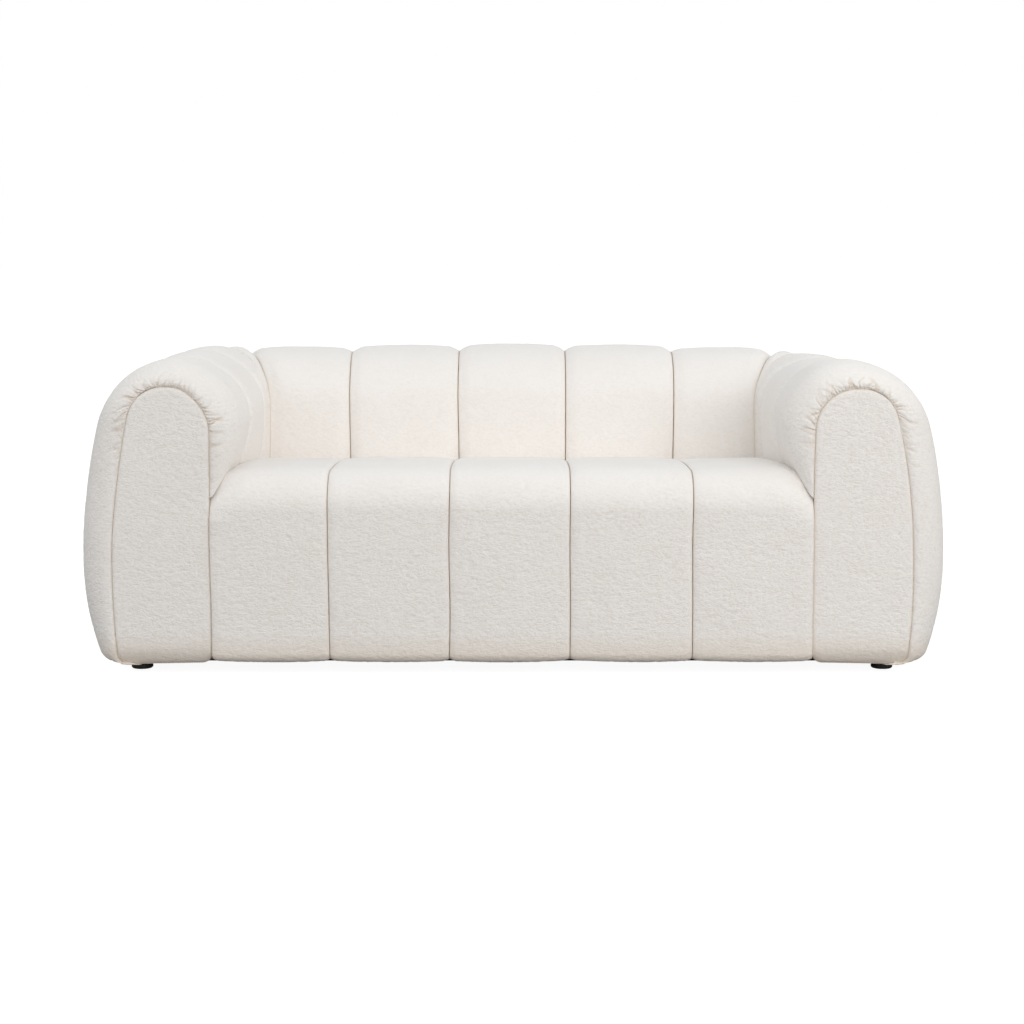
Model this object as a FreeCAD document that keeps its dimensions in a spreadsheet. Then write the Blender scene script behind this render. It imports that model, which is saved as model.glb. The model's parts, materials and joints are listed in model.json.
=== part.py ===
import FreeCAD, Part
import math
import os
import re

import Sketcher

# Channel-tufted tuxedo sofa: a seat, a back and two arms of one height, all sewn in
# upright channels over a timber frame that stands on four short round feet.
# Frame of the model: +X to the sitter's left as seen from the front (to the right of a
# viewer who faces the sofa), +Y to the rear, +Z up, origin on the floor under the middle.

doc = FreeCAD.newDocument("Sofa")
sheet = doc.addObject("Spreadsheet::Sheet", "Sizes")

# Driving dimensions in millimetres, angles in degrees
VALUES = {
    "overall_width": (2000, "outside of one arm to the outside of the other"),
    "overall_depth": (930, "front of the seat to the rear of the back"),
    "back_height": (720, "top of the back channels above the floor"),
    "arm_step": (5, "top of the arm channels below the top of the back"),
    "arm_height": ("=back_height - arm_step", "top of the arm channels above the floor"),
    "arm_width": (315, "inner edge of a facing to the outside of its arm"),
    "seat_width": ("=overall_width - 2 * arm_width", "between the arm facings' inner edges"),
    "seat_height": (474, "top of the seat at its front edge"),
    "seat_drop": (34, "fall of the seat from its front edge to the face of the back"),
    "seat_edge_radius": (95, "rounding of the seat's front edge"),
    "seat_bottom": (38, "lower edge of the seat's front above the floor"),
    "seat_pad": (60, "thickness of the seat channels"),
    "seat_channel_depth": (15, "depth of the seams between the seat channels"),
    "channel_depth": (18, "depth of the seams between the arm and back channels"),
    "wedge_depth": (10, "depth of the seams of the narrow corner channel"),
    "crown_power": (5, "how flat each channel stays between its seams"),
    "arm_overhang": (69, "how far the arm roll stands in over the seat"),
    "arm_apex_reach": (236, "highest line of the arm from its outer side"),
    "roll_radius": (140, "rounding of the arms and the back above the seat"),
    "side_lean": (15, "lean of the outer side where it meets the top"),
    "bulge_drop": (415, "widest height of the outer sides below the top of the arms"),
    "bulge_height": ("=arm_height - bulge_drop", "height where the outer sides are widest"),
    "foot_inset": (42, "how far the outer sides draw in at the bottom"),
    "skirt_height": (28, "lower edge of the arms and the back above the floor"),
    "roll_depth": (85, "depth over which the front roll rounds into the facing"),
    "arm_seam_lead": (30, "second arm seam in front of the corner"),
    "mitre_angle": (47, "seam between the arm and the corner channel"),
    "wedge_angle": (66.5, "seam between the corner channel and the back"),
    "corner_radius": (16, "radius of the inner corner in plan"),
    "back_thickness": (315, "face of the back to its rear"),
    "back_apex_reach": (165, "highest line of the back from its rear"),
    "facing_width": (226, "width of the flat facing at the front of each arm"),
    "facing_drop": (60, "top of the facing below the top of the arm"),
    "facing_height": ("=arm_height - facing_drop", "top of the facing above the floor"),
    "facing_apex": (102, "highest point of the facing from its inner edge"),
    "facing_radius": (94, "rounding of the facing's inner shoulder"),
    "facing_inset": (7, "how far the facing draws in at the bottom"),
    "facing_dome": (3, "how far the facing stands out of its seam"),
    "facing_pad": (25, "thickness of the facing behind its seam"),
    "core_inset": (15, "frame of the arm behind the inner edge of the facing"),
    "core_width": (180, "width of the arm frame"),
    "arm_crown_pad": (79, "padding over the frame of the arm"),
    "core_height": ("=arm_height - arm_crown_pad", "top of the arm's frame above the floor"),
    "back_core_inset": (65, "frame of the back behind the face of the back"),
    "back_core_width": (170, "width of the back frame"),
    "back_crown_pad": (84, "padding over the frame of the back"),
    "back_core_height": ("=back_height - back_crown_pad", "top of the back's frame"),
    "shell_thickness": (4, "bent board over the frames"),
    "panel_thickness": (18, "plywood of the arm panels and base boards"),
    "base_height": (28, "underside of the frame above the floor"),
    "rail_width": (42, "width of the seat rails"),
    "rail_height": (60, "height of the lower seat rails"),
    "spring_rail_height": (42, "height of the rails under the spring ends"),
    "spring_rail_top": (248, "top of the spring rails above the floor"),
    "front_board": (12, "board behind the seat's front channels"),
    "side_board": (22, "board between the seat and each arm"),
    "stringer_width": (60, "width of the rails under the rolls"),
    "stringer_height": (22, "height of the rails under the rolls"),
    "rib_offset": (200, "inner back ribs from the middle"),
    "deck_pad": (8, "felt pad over the springs"),
    "spring_wire": (3.8, "diameter of the spring wire"),
    "spring_swing": (22, "half the width of a spring's waves"),
    "spring_margin": (130, "outer springs from the arm facings' inner edges"),
    "spring_spacing": ("=(seat_width - 2 * spring_margin) / 6", "distance between springs"),
    "clip_width": (14, "width of a spring clip"),
    "clip_thickness": (1.2, "sheet of a spring clip"),
    "block_size": (70, "corner blocks along each rail"),
    "block_height": (50, "height of the corner blocks"),
    "cover_thickness": (1.2, "cloth under the base"),
    "foot_radius": (25, "radius of a foot"),
    "foot_chamfer": (2.5, "bevel around the sole of a foot"),
    "front_foot_inset": (138, "front feet from the outer sides"),
    "front_foot_offset": ("=overall_width / 2 - front_foot_inset", "front feet from the middle"),
    "front_foot_setback": (100, "front feet behind the facing seam"),
    "rear_foot_inset": (230, "rear feet from the outer sides"),
    "rear_foot_offset": ("=overall_width / 2 - rear_foot_inset", "rear feet from the middle"),
    "rear_foot_setback": (175, "rear feet in front of the rear"),
    "stud_radius": (4, "threaded stud of a foot"),
    "stud_depth": (16, "stud inside the foot"),
    "gap": (0.4, "clearance between pieces"),
}
SPRINGS = 7
SPRING_WAVES = 11
SEAT_CHANNELS = 5

for row, (alias, (value, note)) in enumerate(VALUES.items(), start=1):
    sheet.set("A%d" % row, alias.replace("_", " "))
    sheet.set("B%d" % row, str(value))
    sheet.setAlias("B%d" % row, alias)
    sheet.set("C%d" % row, note)
doc.recompute()


def bound(formula):
    """The formula as an expression on the spreadsheet's cells."""
    def cell(match):
        word = match.group(0)
        return "Sizes." + word if word in VALUES else word
    return re.sub(r"[a-z_]+", cell, str(formula))


def number(formula):
    """The value of a formula."""
    return float(sheet.evalExpression(bound(formula)))


# Places worked out from the driving dimensions, as formulas
SEAM_PLANE = "(seat_channel_depth - overall_depth / 2)"
BACK_FACE = "(overall_depth / 2 - back_thickness)"
ROLL_FACE = "(seat_width / 2 - arm_overhang)"
PIVOT_X = "(%s - corner_radius)" % ROLL_FACE
PIVOT_Y = "(%s - corner_radius)" % BACK_FACE
CORE_IN = "(seat_width / 2 + core_inset)"
CORE_OUT = "(%s + core_width)" % CORE_IN
BACK_CORE_IN = "(%s + back_core_inset)" % BACK_FACE
BACK_CORE_OUT = "(%s + back_core_width)" % BACK_CORE_IN
BACK_MIDDLE = "(%s + back_core_width / 2)" % BACK_CORE_IN
ARM_SEAM_REAR = "(%s - %s - arm_seam_lead)" % (PIVOT_Y, SEAM_PLANE)
ARM_SEAM_FRONT = "(%s / 2)" % ARM_SEAM_REAR
SHELL = "(shell_thickness + gap)"
PANEL_FRONT = "(%s + facing_pad + gap)" % SEAM_PLANE
BOARD_TOP = "(base_height + panel_thickness)"
RAIL_FRONT = "(seat_pad - overall_depth / 2 + gap)"
RAIL_REAR = "(%s - gap)" % BACK_CORE_IN
DECK_TOP = "(spring_rail_top + spring_wire + 2 * clip_thickness + deck_pad)"


def add(shape, name):
    """A sub-part whose shape is worked out here."""
    feature = doc.addObject("Part::Feature", name)
    feature.Label = name
    feature.Shape = shape
    feature.Placement = FreeCAD.Placement()
    return feature


def side_range(low, high, sign):
    """A range along X, or its mirror image on the left."""
    return (low, high) if sign > 0 else ("-(%s)" % high, "-(%s)" % low)


def block(name, x_range, y_range, z_range):
    """A board or rail between two formulas along each axis."""
    box = doc.addObject("Part::Box", name)
    box.Label = name
    sides = zip(("Length", "Width", "Height"), "xyz", (x_range, y_range, z_range))
    for size, axis, (low, high) in sides:
        box.setExpression(size, bound("(%s) - (%s)" % (high, low)))
        box.setExpression(".Placement.Base.%s" % axis, bound(low))
    return box


def origin_plane(body, role):
    """One of a body's own origin planes."""
    return next(item for item in body.Origin.OriginFeatures if item.Role == role)


def new_sketch(body, role):
    """A sketch on one of the body's origin planes."""
    sketch = body.newObject("Sketcher::SketchObject", body.Name + "_outline")
    sketch.AttachmentSupport = [(origin_plane(body, role), "")]
    sketch.MapMode = "FlatFace"
    return sketch


def new_body(name):
    """An empty body with its label."""
    body = doc.addObject("PartDesign::Body", name)
    body.Label = name
    return body


def pad(body, sketch, length):
    """The sketch extruded by a formula."""
    feature = body.newObject("PartDesign::Pad", body.Name + "_pad")
    feature.Profile = sketch
    feature.setExpression("Length", bound(length))
    return feature


def place(body, x="0", y="0", z="0", rotation=None):
    """The body's place, bound to formulas."""
    if rotation:
        body.Placement = FreeCAD.Placement(FreeCAD.Vector(), rotation)
    for axis, formula in zip("xyz", (x, y, z)):
        body.setExpression(".Placement.Base.%s" % axis, bound(formula))


def drive(sketch, index, point, along, formula, name):
    """One point's distance from the sketch's origin, bound to a formula."""
    value = number(formula)
    kind = "DistanceX" if along == "x" else "DistanceY"
    item = sketch.addConstraint(Sketcher.Constraint(kind, index, point, value))
    sketch.renameConstraint(item, name)
    sketch.setExpression("Constraints.%s" % name, bound(formula))


def polygon(sketch, corners):
    """A closed outline whose corners are pairs of formulas."""
    points = [FreeCAD.Vector(number(x), number(y), 0) for x, y in corners]
    count = len(points)
    for i in range(count):
        sketch.addGeometry(Part.LineSegment(points[i], points[(i + 1) % count]), False)
    for i in range(count):
        sketch.addConstraint(Sketcher.Constraint("Coincident", i, 2, (i + 1) % count, 1))
    for i, (x, y) in enumerate(corners):
        drive(sketch, i, 1, "x", x, "corner_x_%d" % i)
        drive(sketch, i, 1, "y", y, "corner_y_%d" % i)


def arch(sketch, centre, radius, left_foot, right_foot, first=0):
    """A half circle on two upright sides, from the left foot to the right one."""
    middle = FreeCAD.Vector(0, number(centre), 0)
    reach = number(radius)
    circle = Part.Circle(middle, FreeCAD.Vector(0, 0, 1), reach)
    sketch.addGeometry(Part.ArcOfCircle(circle, 0, math.pi), False)
    tops = (FreeCAD.Vector(reach, middle.y, 0), FreeCAD.Vector(-reach, middle.y, 0))
    for top, foot in zip(tops, (right_foot, left_foot)):
        end = FreeCAD.Vector(top.x, number(foot), 0)
        sketch.addGeometry(Part.LineSegment(top, end), False)
    curve, right, left = first, first + 1, first + 2
    sketch.addConstraint(Sketcher.Constraint("PointOnObject", curve, 3, -2))
    drive(sketch, curve, 3, "y", centre, "centre_%d" % first)
    sketch.addConstraint(Sketcher.Constraint("Horizontal", curve, 1, curve, 3))
    sketch.addConstraint(Sketcher.Constraint("Horizontal", curve, 2, curve, 3))
    item = sketch.addConstraint(Sketcher.Constraint("Radius", curve, reach))
    sketch.renameConstraint(item, "radius_%d" % first)
    sketch.setExpression("Constraints.radius_%d" % first, bound(radius))
    sketch.addConstraint(Sketcher.Constraint("Coincident", right, 1, curve, 1))
    sketch.addConstraint(Sketcher.Constraint("Coincident", left, 1, curve, 2))
    sketch.addConstraint(Sketcher.Constraint("Vertical", right))
    sketch.addConstraint(Sketcher.Constraint("Vertical", left))
    drive(sketch, right, 2, "y", right_foot, "right_foot_%d" % first)
    drive(sketch, left, 2, "y", left_foot, "left_foot_%d" % first)


def bridge(sketch, first, first_point, second, second_point):
    """A straight edge between two free ends of a sketch."""
    start = sketch.getPoint(first, first_point)
    end = sketch.getPoint(second, second_point)
    line = sketch.addGeometry(Part.LineSegment(start, end), False)
    sketch.addConstraint(Sketcher.Constraint("Coincident", line, 1, first, first_point))
    sketch.addConstraint(Sketcher.Constraint("Coincident", line, 2, second, second_point))


def arch_panel(name, width, foot, thickness):
    """A flat panel with an arched top, in the plane of X and Z."""
    body = new_body(name)
    sketch = new_sketch(body, "XY_Plane")
    radius = "(%s) / 2" % width
    arch(sketch, "core_height - %s - (%s)" % (SHELL, radius), radius, foot, foot)
    bridge(sketch, 2, 2, 1, 2)
    pad(body, sketch, thickness)
    return body


def notch(body, half_width, foot, sign):
    """A cut in a panel's inner lower corner, where the board beside the seat runs through."""
    edge = "-(%s)" % half_width if sign > 0 else "(%s)" % half_width
    step = "+" if sign > 0 else "-"
    inside = "%s %s (side_board + gap)" % (edge, step)
    outside = "%s %s -side_board" % (edge, step)
    top = "spring_rail_top + gap"
    below = "%s - side_board" % foot
    sketch = new_sketch(body, "XY_Plane")
    polygon(sketch, ((outside, below), (inside, below), (inside, top), (outside, top)))
    feature = body.newObject("PartDesign::Pocket", body.Name + "_notch")
    feature.Profile = sketch
    feature.Type = 1
    feature.Midplane = True


def arch_shell(name, width, top, left_foot, right_foot, length):
    """A bent board with an arched section and two upright legs."""
    body = new_body(name)
    sketch = new_sketch(body, "XY_Plane")
    outer = "(%s) / 2" % width
    inner = "(%s - shell_thickness)" % outer
    centre = "%s - %s" % (top, outer)
    arch(sketch, centre, outer, left_foot, right_foot)
    arch(sketch, centre, inner, left_foot, right_foot, first=3)
    bridge(sketch, 1, 2, 4, 2)
    bridge(sketch, 2, 2, 5, 2)
    pad(body, sketch, length)
    return body


# Outlines of the soft channels, as edges in a plane: a line has two points and an arc
# three, each a distance out from the section's base and a height

def turn(centre, radius, start, end):
    """An arc about a centre, between two angles in degrees."""
    angles = [math.radians(a) for a in (start, (start + end) / 2, end)]
    return [(centre[0] + radius * math.cos(a), centre[1] + radius * math.sin(a))
            for a in angles]


def roll_outline(shape, inset=0):
    """The outer surface of an arm or of the back, from its inner leg to its outer foot."""
    inner = shape["inner"] + inset
    outer = shape["outer"] - inset
    top = shape["top"] - inset
    apex = shape["apex"]
    widest = number("bulge_height")
    lean = number("side_lean")
    cos, sin = math.cos(math.radians(lean)), math.sin(math.radians(lean))
    reach, rise = outer - apex, top - widest
    side = (rise * cos - reach * (1 - sin)) / (sin + cos - 1)
    shoulder = (reach * sin - rise * (1 - cos)) / (sin + cos - 1)
    bend = min(shape["radius"] - inset, apex - inner - 1, 0.9 * (top - shape["leg"]))
    low = widest - shape["foot"]
    draw_in = shape["draw_in"]
    lower = (low * low + draw_in * draw_in) / (2 * draw_in)
    sweep = math.degrees(math.asin(low / lower))
    return [
        [(inner, shape["leg"]), (inner, top - bend)],
        turn((inner + bend, top - bend), bend, 180, 90),
        [(inner + bend, top), (apex, top)],
        turn((apex, top - shoulder), shoulder, 90, lean),
        turn((outer - side, widest), side, lean, 0),
        turn((outer - lower, widest), lower, 0, -sweep),
    ]


def core_outline(shape):
    """The surface of the frame under a roll, from its outer foot to its inner leg."""
    inner, outer = shape["core_in"], shape["core_out"]
    radius = (outer - inner) / 2
    centre = (inner + radius, shape["core_top"] - radius)
    return [
        [(outer, shape["foot"]), (outer, centre[1])],
        turn(centre, radius, 0, 90),
        turn(centre, radius, 90, 180),
        [(inner, centre[1]), (inner, shape["leg"])],
    ]


def closed(edges):
    """The edges with a straight edge added across each gap between them."""
    result = []
    for edge, following in zip(edges, edges[1:] + edges[:1]):
        result.append(edge)
        if math.dist(edge[-1], following[0]) > 1e-4:
            result.append([edge[-1], following[0]])
    return result


def raise_edges(edges, place_point):
    """A wire in space, from edges in a plane and the place of each of their points."""
    curves = []
    for edge in edges:
        points = [place_point(*point) for point in edge]
        curve = Part.LineSegment(*points) if len(points) == 2 else Part.Arc(*points)
        curves.append(curve.toShape())
    return Part.Wire(curves)


def loft(wires, ruled=False):
    """A closed solid through the wires."""
    return Part.makeLoft(wires, True, ruled)


def fullness(share, depth):
    """How far a channel lies below its crown, at a share of its width."""
    return depth * abs(2 * share - 1) ** number("crown_power")


SHARES = (0, 0.05, 0.12, 0.22, 0.36, 0.5, 0.64, 0.78, 0.88, 0.95, 1)

# The seat

seat_front = -number("overall_depth") / 2
seat_rear = number(RAIL_REAR)
edge_radius = number("seat_edge_radius")
edge_y = seat_front + edge_radius
seat_top = number("seat_height")
seat_run = number(BACK_FACE) - edge_y
top_radius = (seat_run ** 2 + number("seat_drop") ** 2) / (2 * number("seat_drop"))


def seat_surface(y):
    """Height of the seat's crown at a depth."""
    if y < edge_y:
        return seat_top - edge_radius + math.sqrt(max(0, edge_radius ** 2 - (edge_y - y) ** 2))
    return seat_top - top_radius + math.sqrt(top_radius ** 2 - (y - edge_y) ** 2)


def seat_outline(inset, bottom):
    """The seat's surface from the bottom of its front to its rear edge."""
    centre = (edge_y, seat_top - edge_radius)
    radius = edge_radius - inset
    long_centre = (edge_y, seat_top - top_radius)
    long_radius = top_radius - inset
    end = math.degrees(math.acos((seat_rear - edge_y) / long_radius))
    return [
        [(edge_y - radius, bottom), (edge_y - radius, centre[1])],
        turn(centre, radius, 180, 90),
        turn(long_centre, long_radius, 90, end),
    ]


def backwards(edges):
    """The same edges run the other way."""
    return [edge[::-1] for edge in reversed(edges)]


def seat_channels():
    """The seat's channels, each one running over the front edge and down to the bottom."""
    gap = number("gap")
    width = number("seat_width") / SEAT_CHANNELS
    bottom = number("seat_bottom")
    inner = backwards(seat_outline(number("seat_pad"), bottom))
    for i in range(SEAT_CHANNELS):
        start = i * width - number("seat_width") / 2 + gap / 2
        wires = []
        for share in SHARES:
            x = start + share * (width - gap)
            outer = seat_outline(fullness(share, number("seat_channel_depth")), bottom)
            wires.append(raise_edges(closed(outer + inner),
                                     lambda y, z, x=x: FreeCAD.Vector(x, y, z)))
        add(loft(wires), "seat_channel_%d" % (i + 1))


def seat_foam():
    """The foam block between the spring deck and the channels."""
    half = number(CORE_IN) - number("gap")
    surface = seat_outline(number("seat_pad") + number("gap"), number(DECK_TOP) + number("gap"))
    rear = surface[-1][-1]
    surface.append([rear, (rear[0], surface[0][0][1])])
    wire = raise_edges(closed(surface), lambda y, z: FreeCAD.Vector(-half, y, z))
    add(Part.Face(wire).extrude(FreeCAD.Vector(2 * half, 0, 0)), "seat_foam_core")


# Arms, corners and back: one roll that turns about an upright line at each inner corner

pivot_x, pivot_y = number(PIVOT_X), number(PIVOT_Y)
arm_reach = number("overall_width") / 2 - pivot_x
back_reach = number("overall_depth") / 2 - pivot_y


def roll_shape(share, leg, reach=None, core_reach=None):
    """Sizes of the roll between the arm, at a share of 0, and the back, at 1."""
    def between(arm, back):
        return arm + (back - arm) * share
    gap = number("gap")
    arm_core = number(CORE_IN) - pivot_x
    back_core = number(BACK_CORE_IN) - pivot_y
    return {
        "inner": number("corner_radius"),
        "apex": between(arm_reach - number("arm_apex_reach"),
                        back_reach - number("back_apex_reach")),
        "outer": reach or between(arm_reach, back_reach),
        "top": between(number("arm_height"), number("back_height")),
        "radius": number("roll_radius"),
        "leg": leg,
        "foot": number("skirt_height"),
        "draw_in": number("foot_inset"),
        "core_in": between(arm_core, back_core) - gap,
        "core_out": (core_reach or between(arm_core + number("core_width"),
                                           back_core + number("back_core_width"))) + gap,
        "core_top": between(number("core_height"), number("back_core_height")) + gap,
    }


def elliptic(angle, sideways, rearward):
    """Reach of an ellipse about the inner corner, at an angle from the side."""
    turned = math.radians(angle)
    return 1 / math.hypot(math.cos(turned) / sideways, math.sin(turned) / rearward)


def arm_station(y):
    """Section of the right arm at a depth."""
    shape = roll_shape(0, seat_surface(y) + number("gap"))
    return shape, lambda r, z: FreeCAD.Vector(pivot_x + r, y, z)


def corner_station(angle):
    """Section of the right rear corner, in a plane through its inner corner."""
    leg = seat_surface(pivot_y) + number("gap")
    core = elliptic(angle, number(CORE_OUT) - pivot_x, number(BACK_CORE_OUT) - pivot_y)
    shape = roll_shape(angle / 90, leg, elliptic(angle, arm_reach, back_reach), core)
    cos, sin = math.cos(math.radians(angle)), math.sin(math.radians(angle))
    return shape, lambda r, z: FreeCAD.Vector(pivot_x + r * cos, pivot_y + r * sin, z)


def back_station(x):
    """Section of the back at a distance from the middle."""
    shape = roll_shape(1, seat_surface(number(BACK_FACE)) + number("gap"))
    return shape, lambda r, z: FreeCAD.Vector(x, pivot_y + r, z)


def roll_section(station, inset):
    """The closed section of a channel at a station."""
    shape, place_point = station
    return raise_edges(closed(roll_outline(shape, inset) + core_outline(shape)), place_point)


def channel(station_at, depth):
    """A channel through the stations that a function gives for shares of its width."""
    return loft([roll_section(station_at(s), fullness(s, depth)) for s in SHARES])


def pair(shape, name):
    """The right piece and its mirror image on the left."""
    add(shape, name % "right")
    add(shape.mirror(FreeCAD.Vector(), FreeCAD.Vector(1, 0, 0)), name % "left")


def facing_shape(leg, foot):
    """Sizes of the arm's flat facing."""
    inner = number("seat_width / 2") - pivot_x
    return {
        "inner": inner,
        "apex": inner + number("facing_apex"),
        "outer": inner + number("facing_width"),
        "top": number("facing_height"),
        "radius": number("facing_radius"),
        "leg": leg,
        "foot": foot,
        "draw_in": number("facing_inset"),
    }


def facing_wire(y, inset):
    """The facing's outline at a depth."""
    foot = number("skirt_height")
    edges = closed(roll_outline(facing_shape(foot, foot), inset))
    return raise_edges(edges, lambda r, z: FreeCAD.Vector(pivot_x + r, y, z))


def front_roll(seam):
    """The arm's first channel, which rounds over at the front into the facing's seam."""
    gap = number("gap")
    plane = number(SEAM_PLANE)
    rear = plane + number(ARM_SEAM_FRONT) - gap / 2
    wires = []
    for angle in (0, 15, 30, 45, 60, 75, 90):
        turned = math.radians(angle)
        y = plane + (1 - math.cos(turned)) * number("roll_depth")
        full, place_point = arm_station(y)
        flat = facing_shape(full["leg"], full["foot"])
        rise = max(0.06, math.sin(turned))
        for key, value in flat.items():
            full[key] = value + (full[key] - value) * rise
        wires.append(roll_section((full, place_point), 0))
    for share in SHARES[5:]:
        y = plane + share * (rear - plane)
        wires.append(roll_section(arm_station(y), fullness(share, seam)))
    recess = Part.Face(facing_wire(plane - number("facing_pad"), -gap))
    return loft(wires).cut(recess.extrude(FreeCAD.Vector(0, 2 * number("facing_pad"), 0)))


def rolls():
    """The channels of the arms, the corners and the back."""
    gap = number("gap")
    plane = number(SEAM_PLANE)
    seam = number("channel_depth")
    pair(front_roll(seam), "arm_channel_%s_1")

    start = plane + number(ARM_SEAM_FRONT) + gap / 2
    end = plane + number(ARM_SEAM_REAR) - gap / 2
    pair(channel(lambda s: arm_station(start + s * (end - start)), seam), "arm_channel_%s_2")

    mitre, wedge = number("mitre_angle"), number("wedge_angle")
    slack = math.degrees(gap / 2 / number("corner_radius"))
    straight = pivot_y - end - gap
    bend = arm_reach * math.radians(mitre)

    def third(share):
        along = share * (straight + bend)
        if along < straight:
            return arm_station(end + gap + along)
        return corner_station((along - straight) / bend * (mitre - slack))

    pair(channel(third, seam), "arm_channel_%s_3")
    pair(channel(lambda s: corner_station(mitre + slack + s * (wedge - mitre - 2 * slack)),
                 number("wedge_depth")), "corner_channel_%s")

    width = number("seat_width") / SEAT_CHANNELS
    inner = 1.5 * width + gap / 2
    run = pivot_x - inner
    sweep = back_reach * math.radians(90 - wedge)

    def fifth(share):
        along = share * (run + sweep)
        if along < run:
            return back_station(inner + along)
        return corner_station(90 - (along - run) / sweep * (90 - wedge - slack))

    outer = channel(fifth, seam)
    add(outer, "back_channel_%d" % SEAT_CHANNELS)
    add(outer.mirror(FreeCAD.Vector(), FreeCAD.Vector(1, 0, 0)), "back_channel_1")
    for i in range(1, SEAT_CHANNELS - 1):
        left = i * width - number("seat_width") / 2 + gap / 2
        solid = channel(lambda s, x=left: back_station(x + s * (width - gap)), seam)
        add(solid, "back_channel_%d" % (i + 1))


def facings():
    """The padded facings that close the fronts of the arms."""
    plane = number(SEAM_PLANE)
    dome = number("facing_dome")
    steps = ((number("facing_pad"), 0), (2 * dome, 0), (0, 2 * dome), (-dome, 7 * dome))
    pair(loft([facing_wire(plane + depth, inset) for depth, inset in steps], True),
         "arm_facing_%s")


# The timber frame

LYING = FreeCAD.Rotation(FreeCAD.Vector(1, 0, 0), 90)
ACROSS = FreeCAD.Rotation(FreeCAD.Vector(0, 0, 1), 90) * LYING


def arm_frames():
    """Panels, stringer, bent board and base board of each arm."""
    width = "(core_width - 2 * %s)" % SHELL
    middle = "(%s + core_width / 2)" % CORE_IN
    rear = "(%s - panel_thickness)" % PIVOT_Y
    for name, sign in (("left", -1), ("right", 1)):
        centre = middle if sign > 0 else "-%s" % middle
        foot = "(%s + gap)" % BOARD_TOP
        panel = arch_panel("arm_front_panel_" + name, width, foot, "panel_thickness")
        place(panel, centre, "%s + panel_thickness" % PANEL_FRONT, "0", LYING)
        panel = arch_panel("arm_rear_panel_" + name, width, foot, "panel_thickness")
        notch(panel, "%s / 2" % width, foot, sign)
        place(panel, centre, "%s - gap" % PIVOT_Y, "0", LYING)
        inner_foot, outer_foot = "(%s + gap)" % DECK_TOP, "base_height"
        feet = (inner_foot, outer_foot) if sign > 0 else (outer_foot, inner_foot)
        length = "%s - %s - gap" % (PIVOT_Y, PANEL_FRONT)
        shell = arch_shell("arm_shell_" + name, "core_width", "core_height",
                           feet[0], feet[1], length)
        place(shell, centre, "%s - gap" % PIVOT_Y, "0", LYING)
        top = stringer_top("core_width", "core_height")
        block("arm_top_rail_" + name,
              side_range("%s - stringer_width / 2" % middle,
                         "%s + stringer_width / 2" % middle, sign),
              ("%s + panel_thickness + gap" % PANEL_FRONT, "%s - 2 * gap" % rear),
              ("%s - stringer_height" % top, top))
        block("seat_side_board_" + name,
              side_range("%s + %s" % (CORE_IN, SHELL),
                         "%s + %s + side_board" % (CORE_IN, SHELL), sign),
              ("%s + panel_thickness + gap" % PANEL_FRONT, RAIL_REAR),
              ("%s + gap" % BOARD_TOP, "spring_rail_top"))


def stringer_top(width, top):
    """Height of a stringer whose upper edges meet the rounded top of a frame."""
    radius = "((%s) / 2 - %s)" % (width, SHELL)
    rise = "sqrt(%s ^ 2 - (stringer_width / 2) ^ 2)" % radius
    return "(%s - (%s) / 2 + %s)" % (top, width, rise)


def corner_arcs(side, rear, height, mirrored=1):
    """The rounded rear corner of a flat piece, as two arcs from its side to its rear."""
    points = []
    for angle in (0, 22.5, 45, 67.5, 90):
        reach = elliptic(angle, side - pivot_x, rear - pivot_y)
        turned = math.radians(angle)
        points.append(FreeCAD.Vector(mirrored * (pivot_x + reach * math.cos(turned)),
                                     pivot_y + reach * math.sin(turned), height))
    return [Part.Arc(*points[:3]).toShape(), Part.Arc(*points[2:]).toShape()]


def base_boards():
    """Base boards under the arms and their corners, with holes for the feet."""
    play = "(%s + gap)" % SHELL
    out, rear = "(%s - %s)" % (CORE_OUT, play), "(%s - %s)" % (BACK_CORE_OUT, play)
    inside, front = "(%s + %s)" % (CORE_IN, SHELL), "(%s + %s)" % (BACK_CORE_IN, SHELL)
    radius = number("stud_radius") + number("gap") / 2
    spots = foot_spots()
    corners = [FreeCAD.Vector(number(x), number(y), 0) for x, y in (
        (PIVOT_X, rear), (PIVOT_X, front), (inside, front), (inside, PANEL_FRONT),
        (out, PANEL_FRONT), (out, PIVOT_Y))]
    edges = [Part.LineSegment(a, b).toShape() for a, b in zip(corners, corners[1:])]
    edges += corner_arcs(number(out), number(rear), 0)
    board = Part.Face(Part.Wire(edges)).extrude(FreeCAD.Vector(0, 0, number("panel_thickness")))
    board.translate(FreeCAD.Vector(0, 0, number("base_height")))
    for x, y in spots:
        if x > 0:
            board = board.cut(Part.makeCylinder(radius, 2 * number("base_height"),
                                                FreeCAD.Vector(x, y, 0)))
    pair(board, "base_board_%s")


def back_frame():
    """Posts, stringer, bent board and base board of the back."""
    width = "back_core_width"
    body = arch_shell("back_shell", width, "back_core_height", "base_height", "base_height",
                      "2 * (%s - gap)" % PIVOT_X)
    place(body, "-(%s - gap)" % PIVOT_X, BACK_MIDDLE, "0", ACROSS)
    top = stringer_top(width, "back_core_height")
    block("back_top_rail",
          ("-(%s - gap)" % PIVOT_X, "%s - gap" % PIVOT_X),
          ("%s - stringer_width / 2" % BACK_MIDDLE, "%s + stringer_width / 2" % BACK_MIDDLE),
          ("%s - stringer_height" % top, top))
    block("back_base_board",
          ("-(%s - gap)" % PIVOT_X, "%s - gap" % PIVOT_X),
          ("%s + %s" % (BACK_CORE_IN, SHELL), "%s - %s" % (BACK_CORE_OUT, SHELL)),
          ("base_height", BOARD_TOP))


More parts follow.
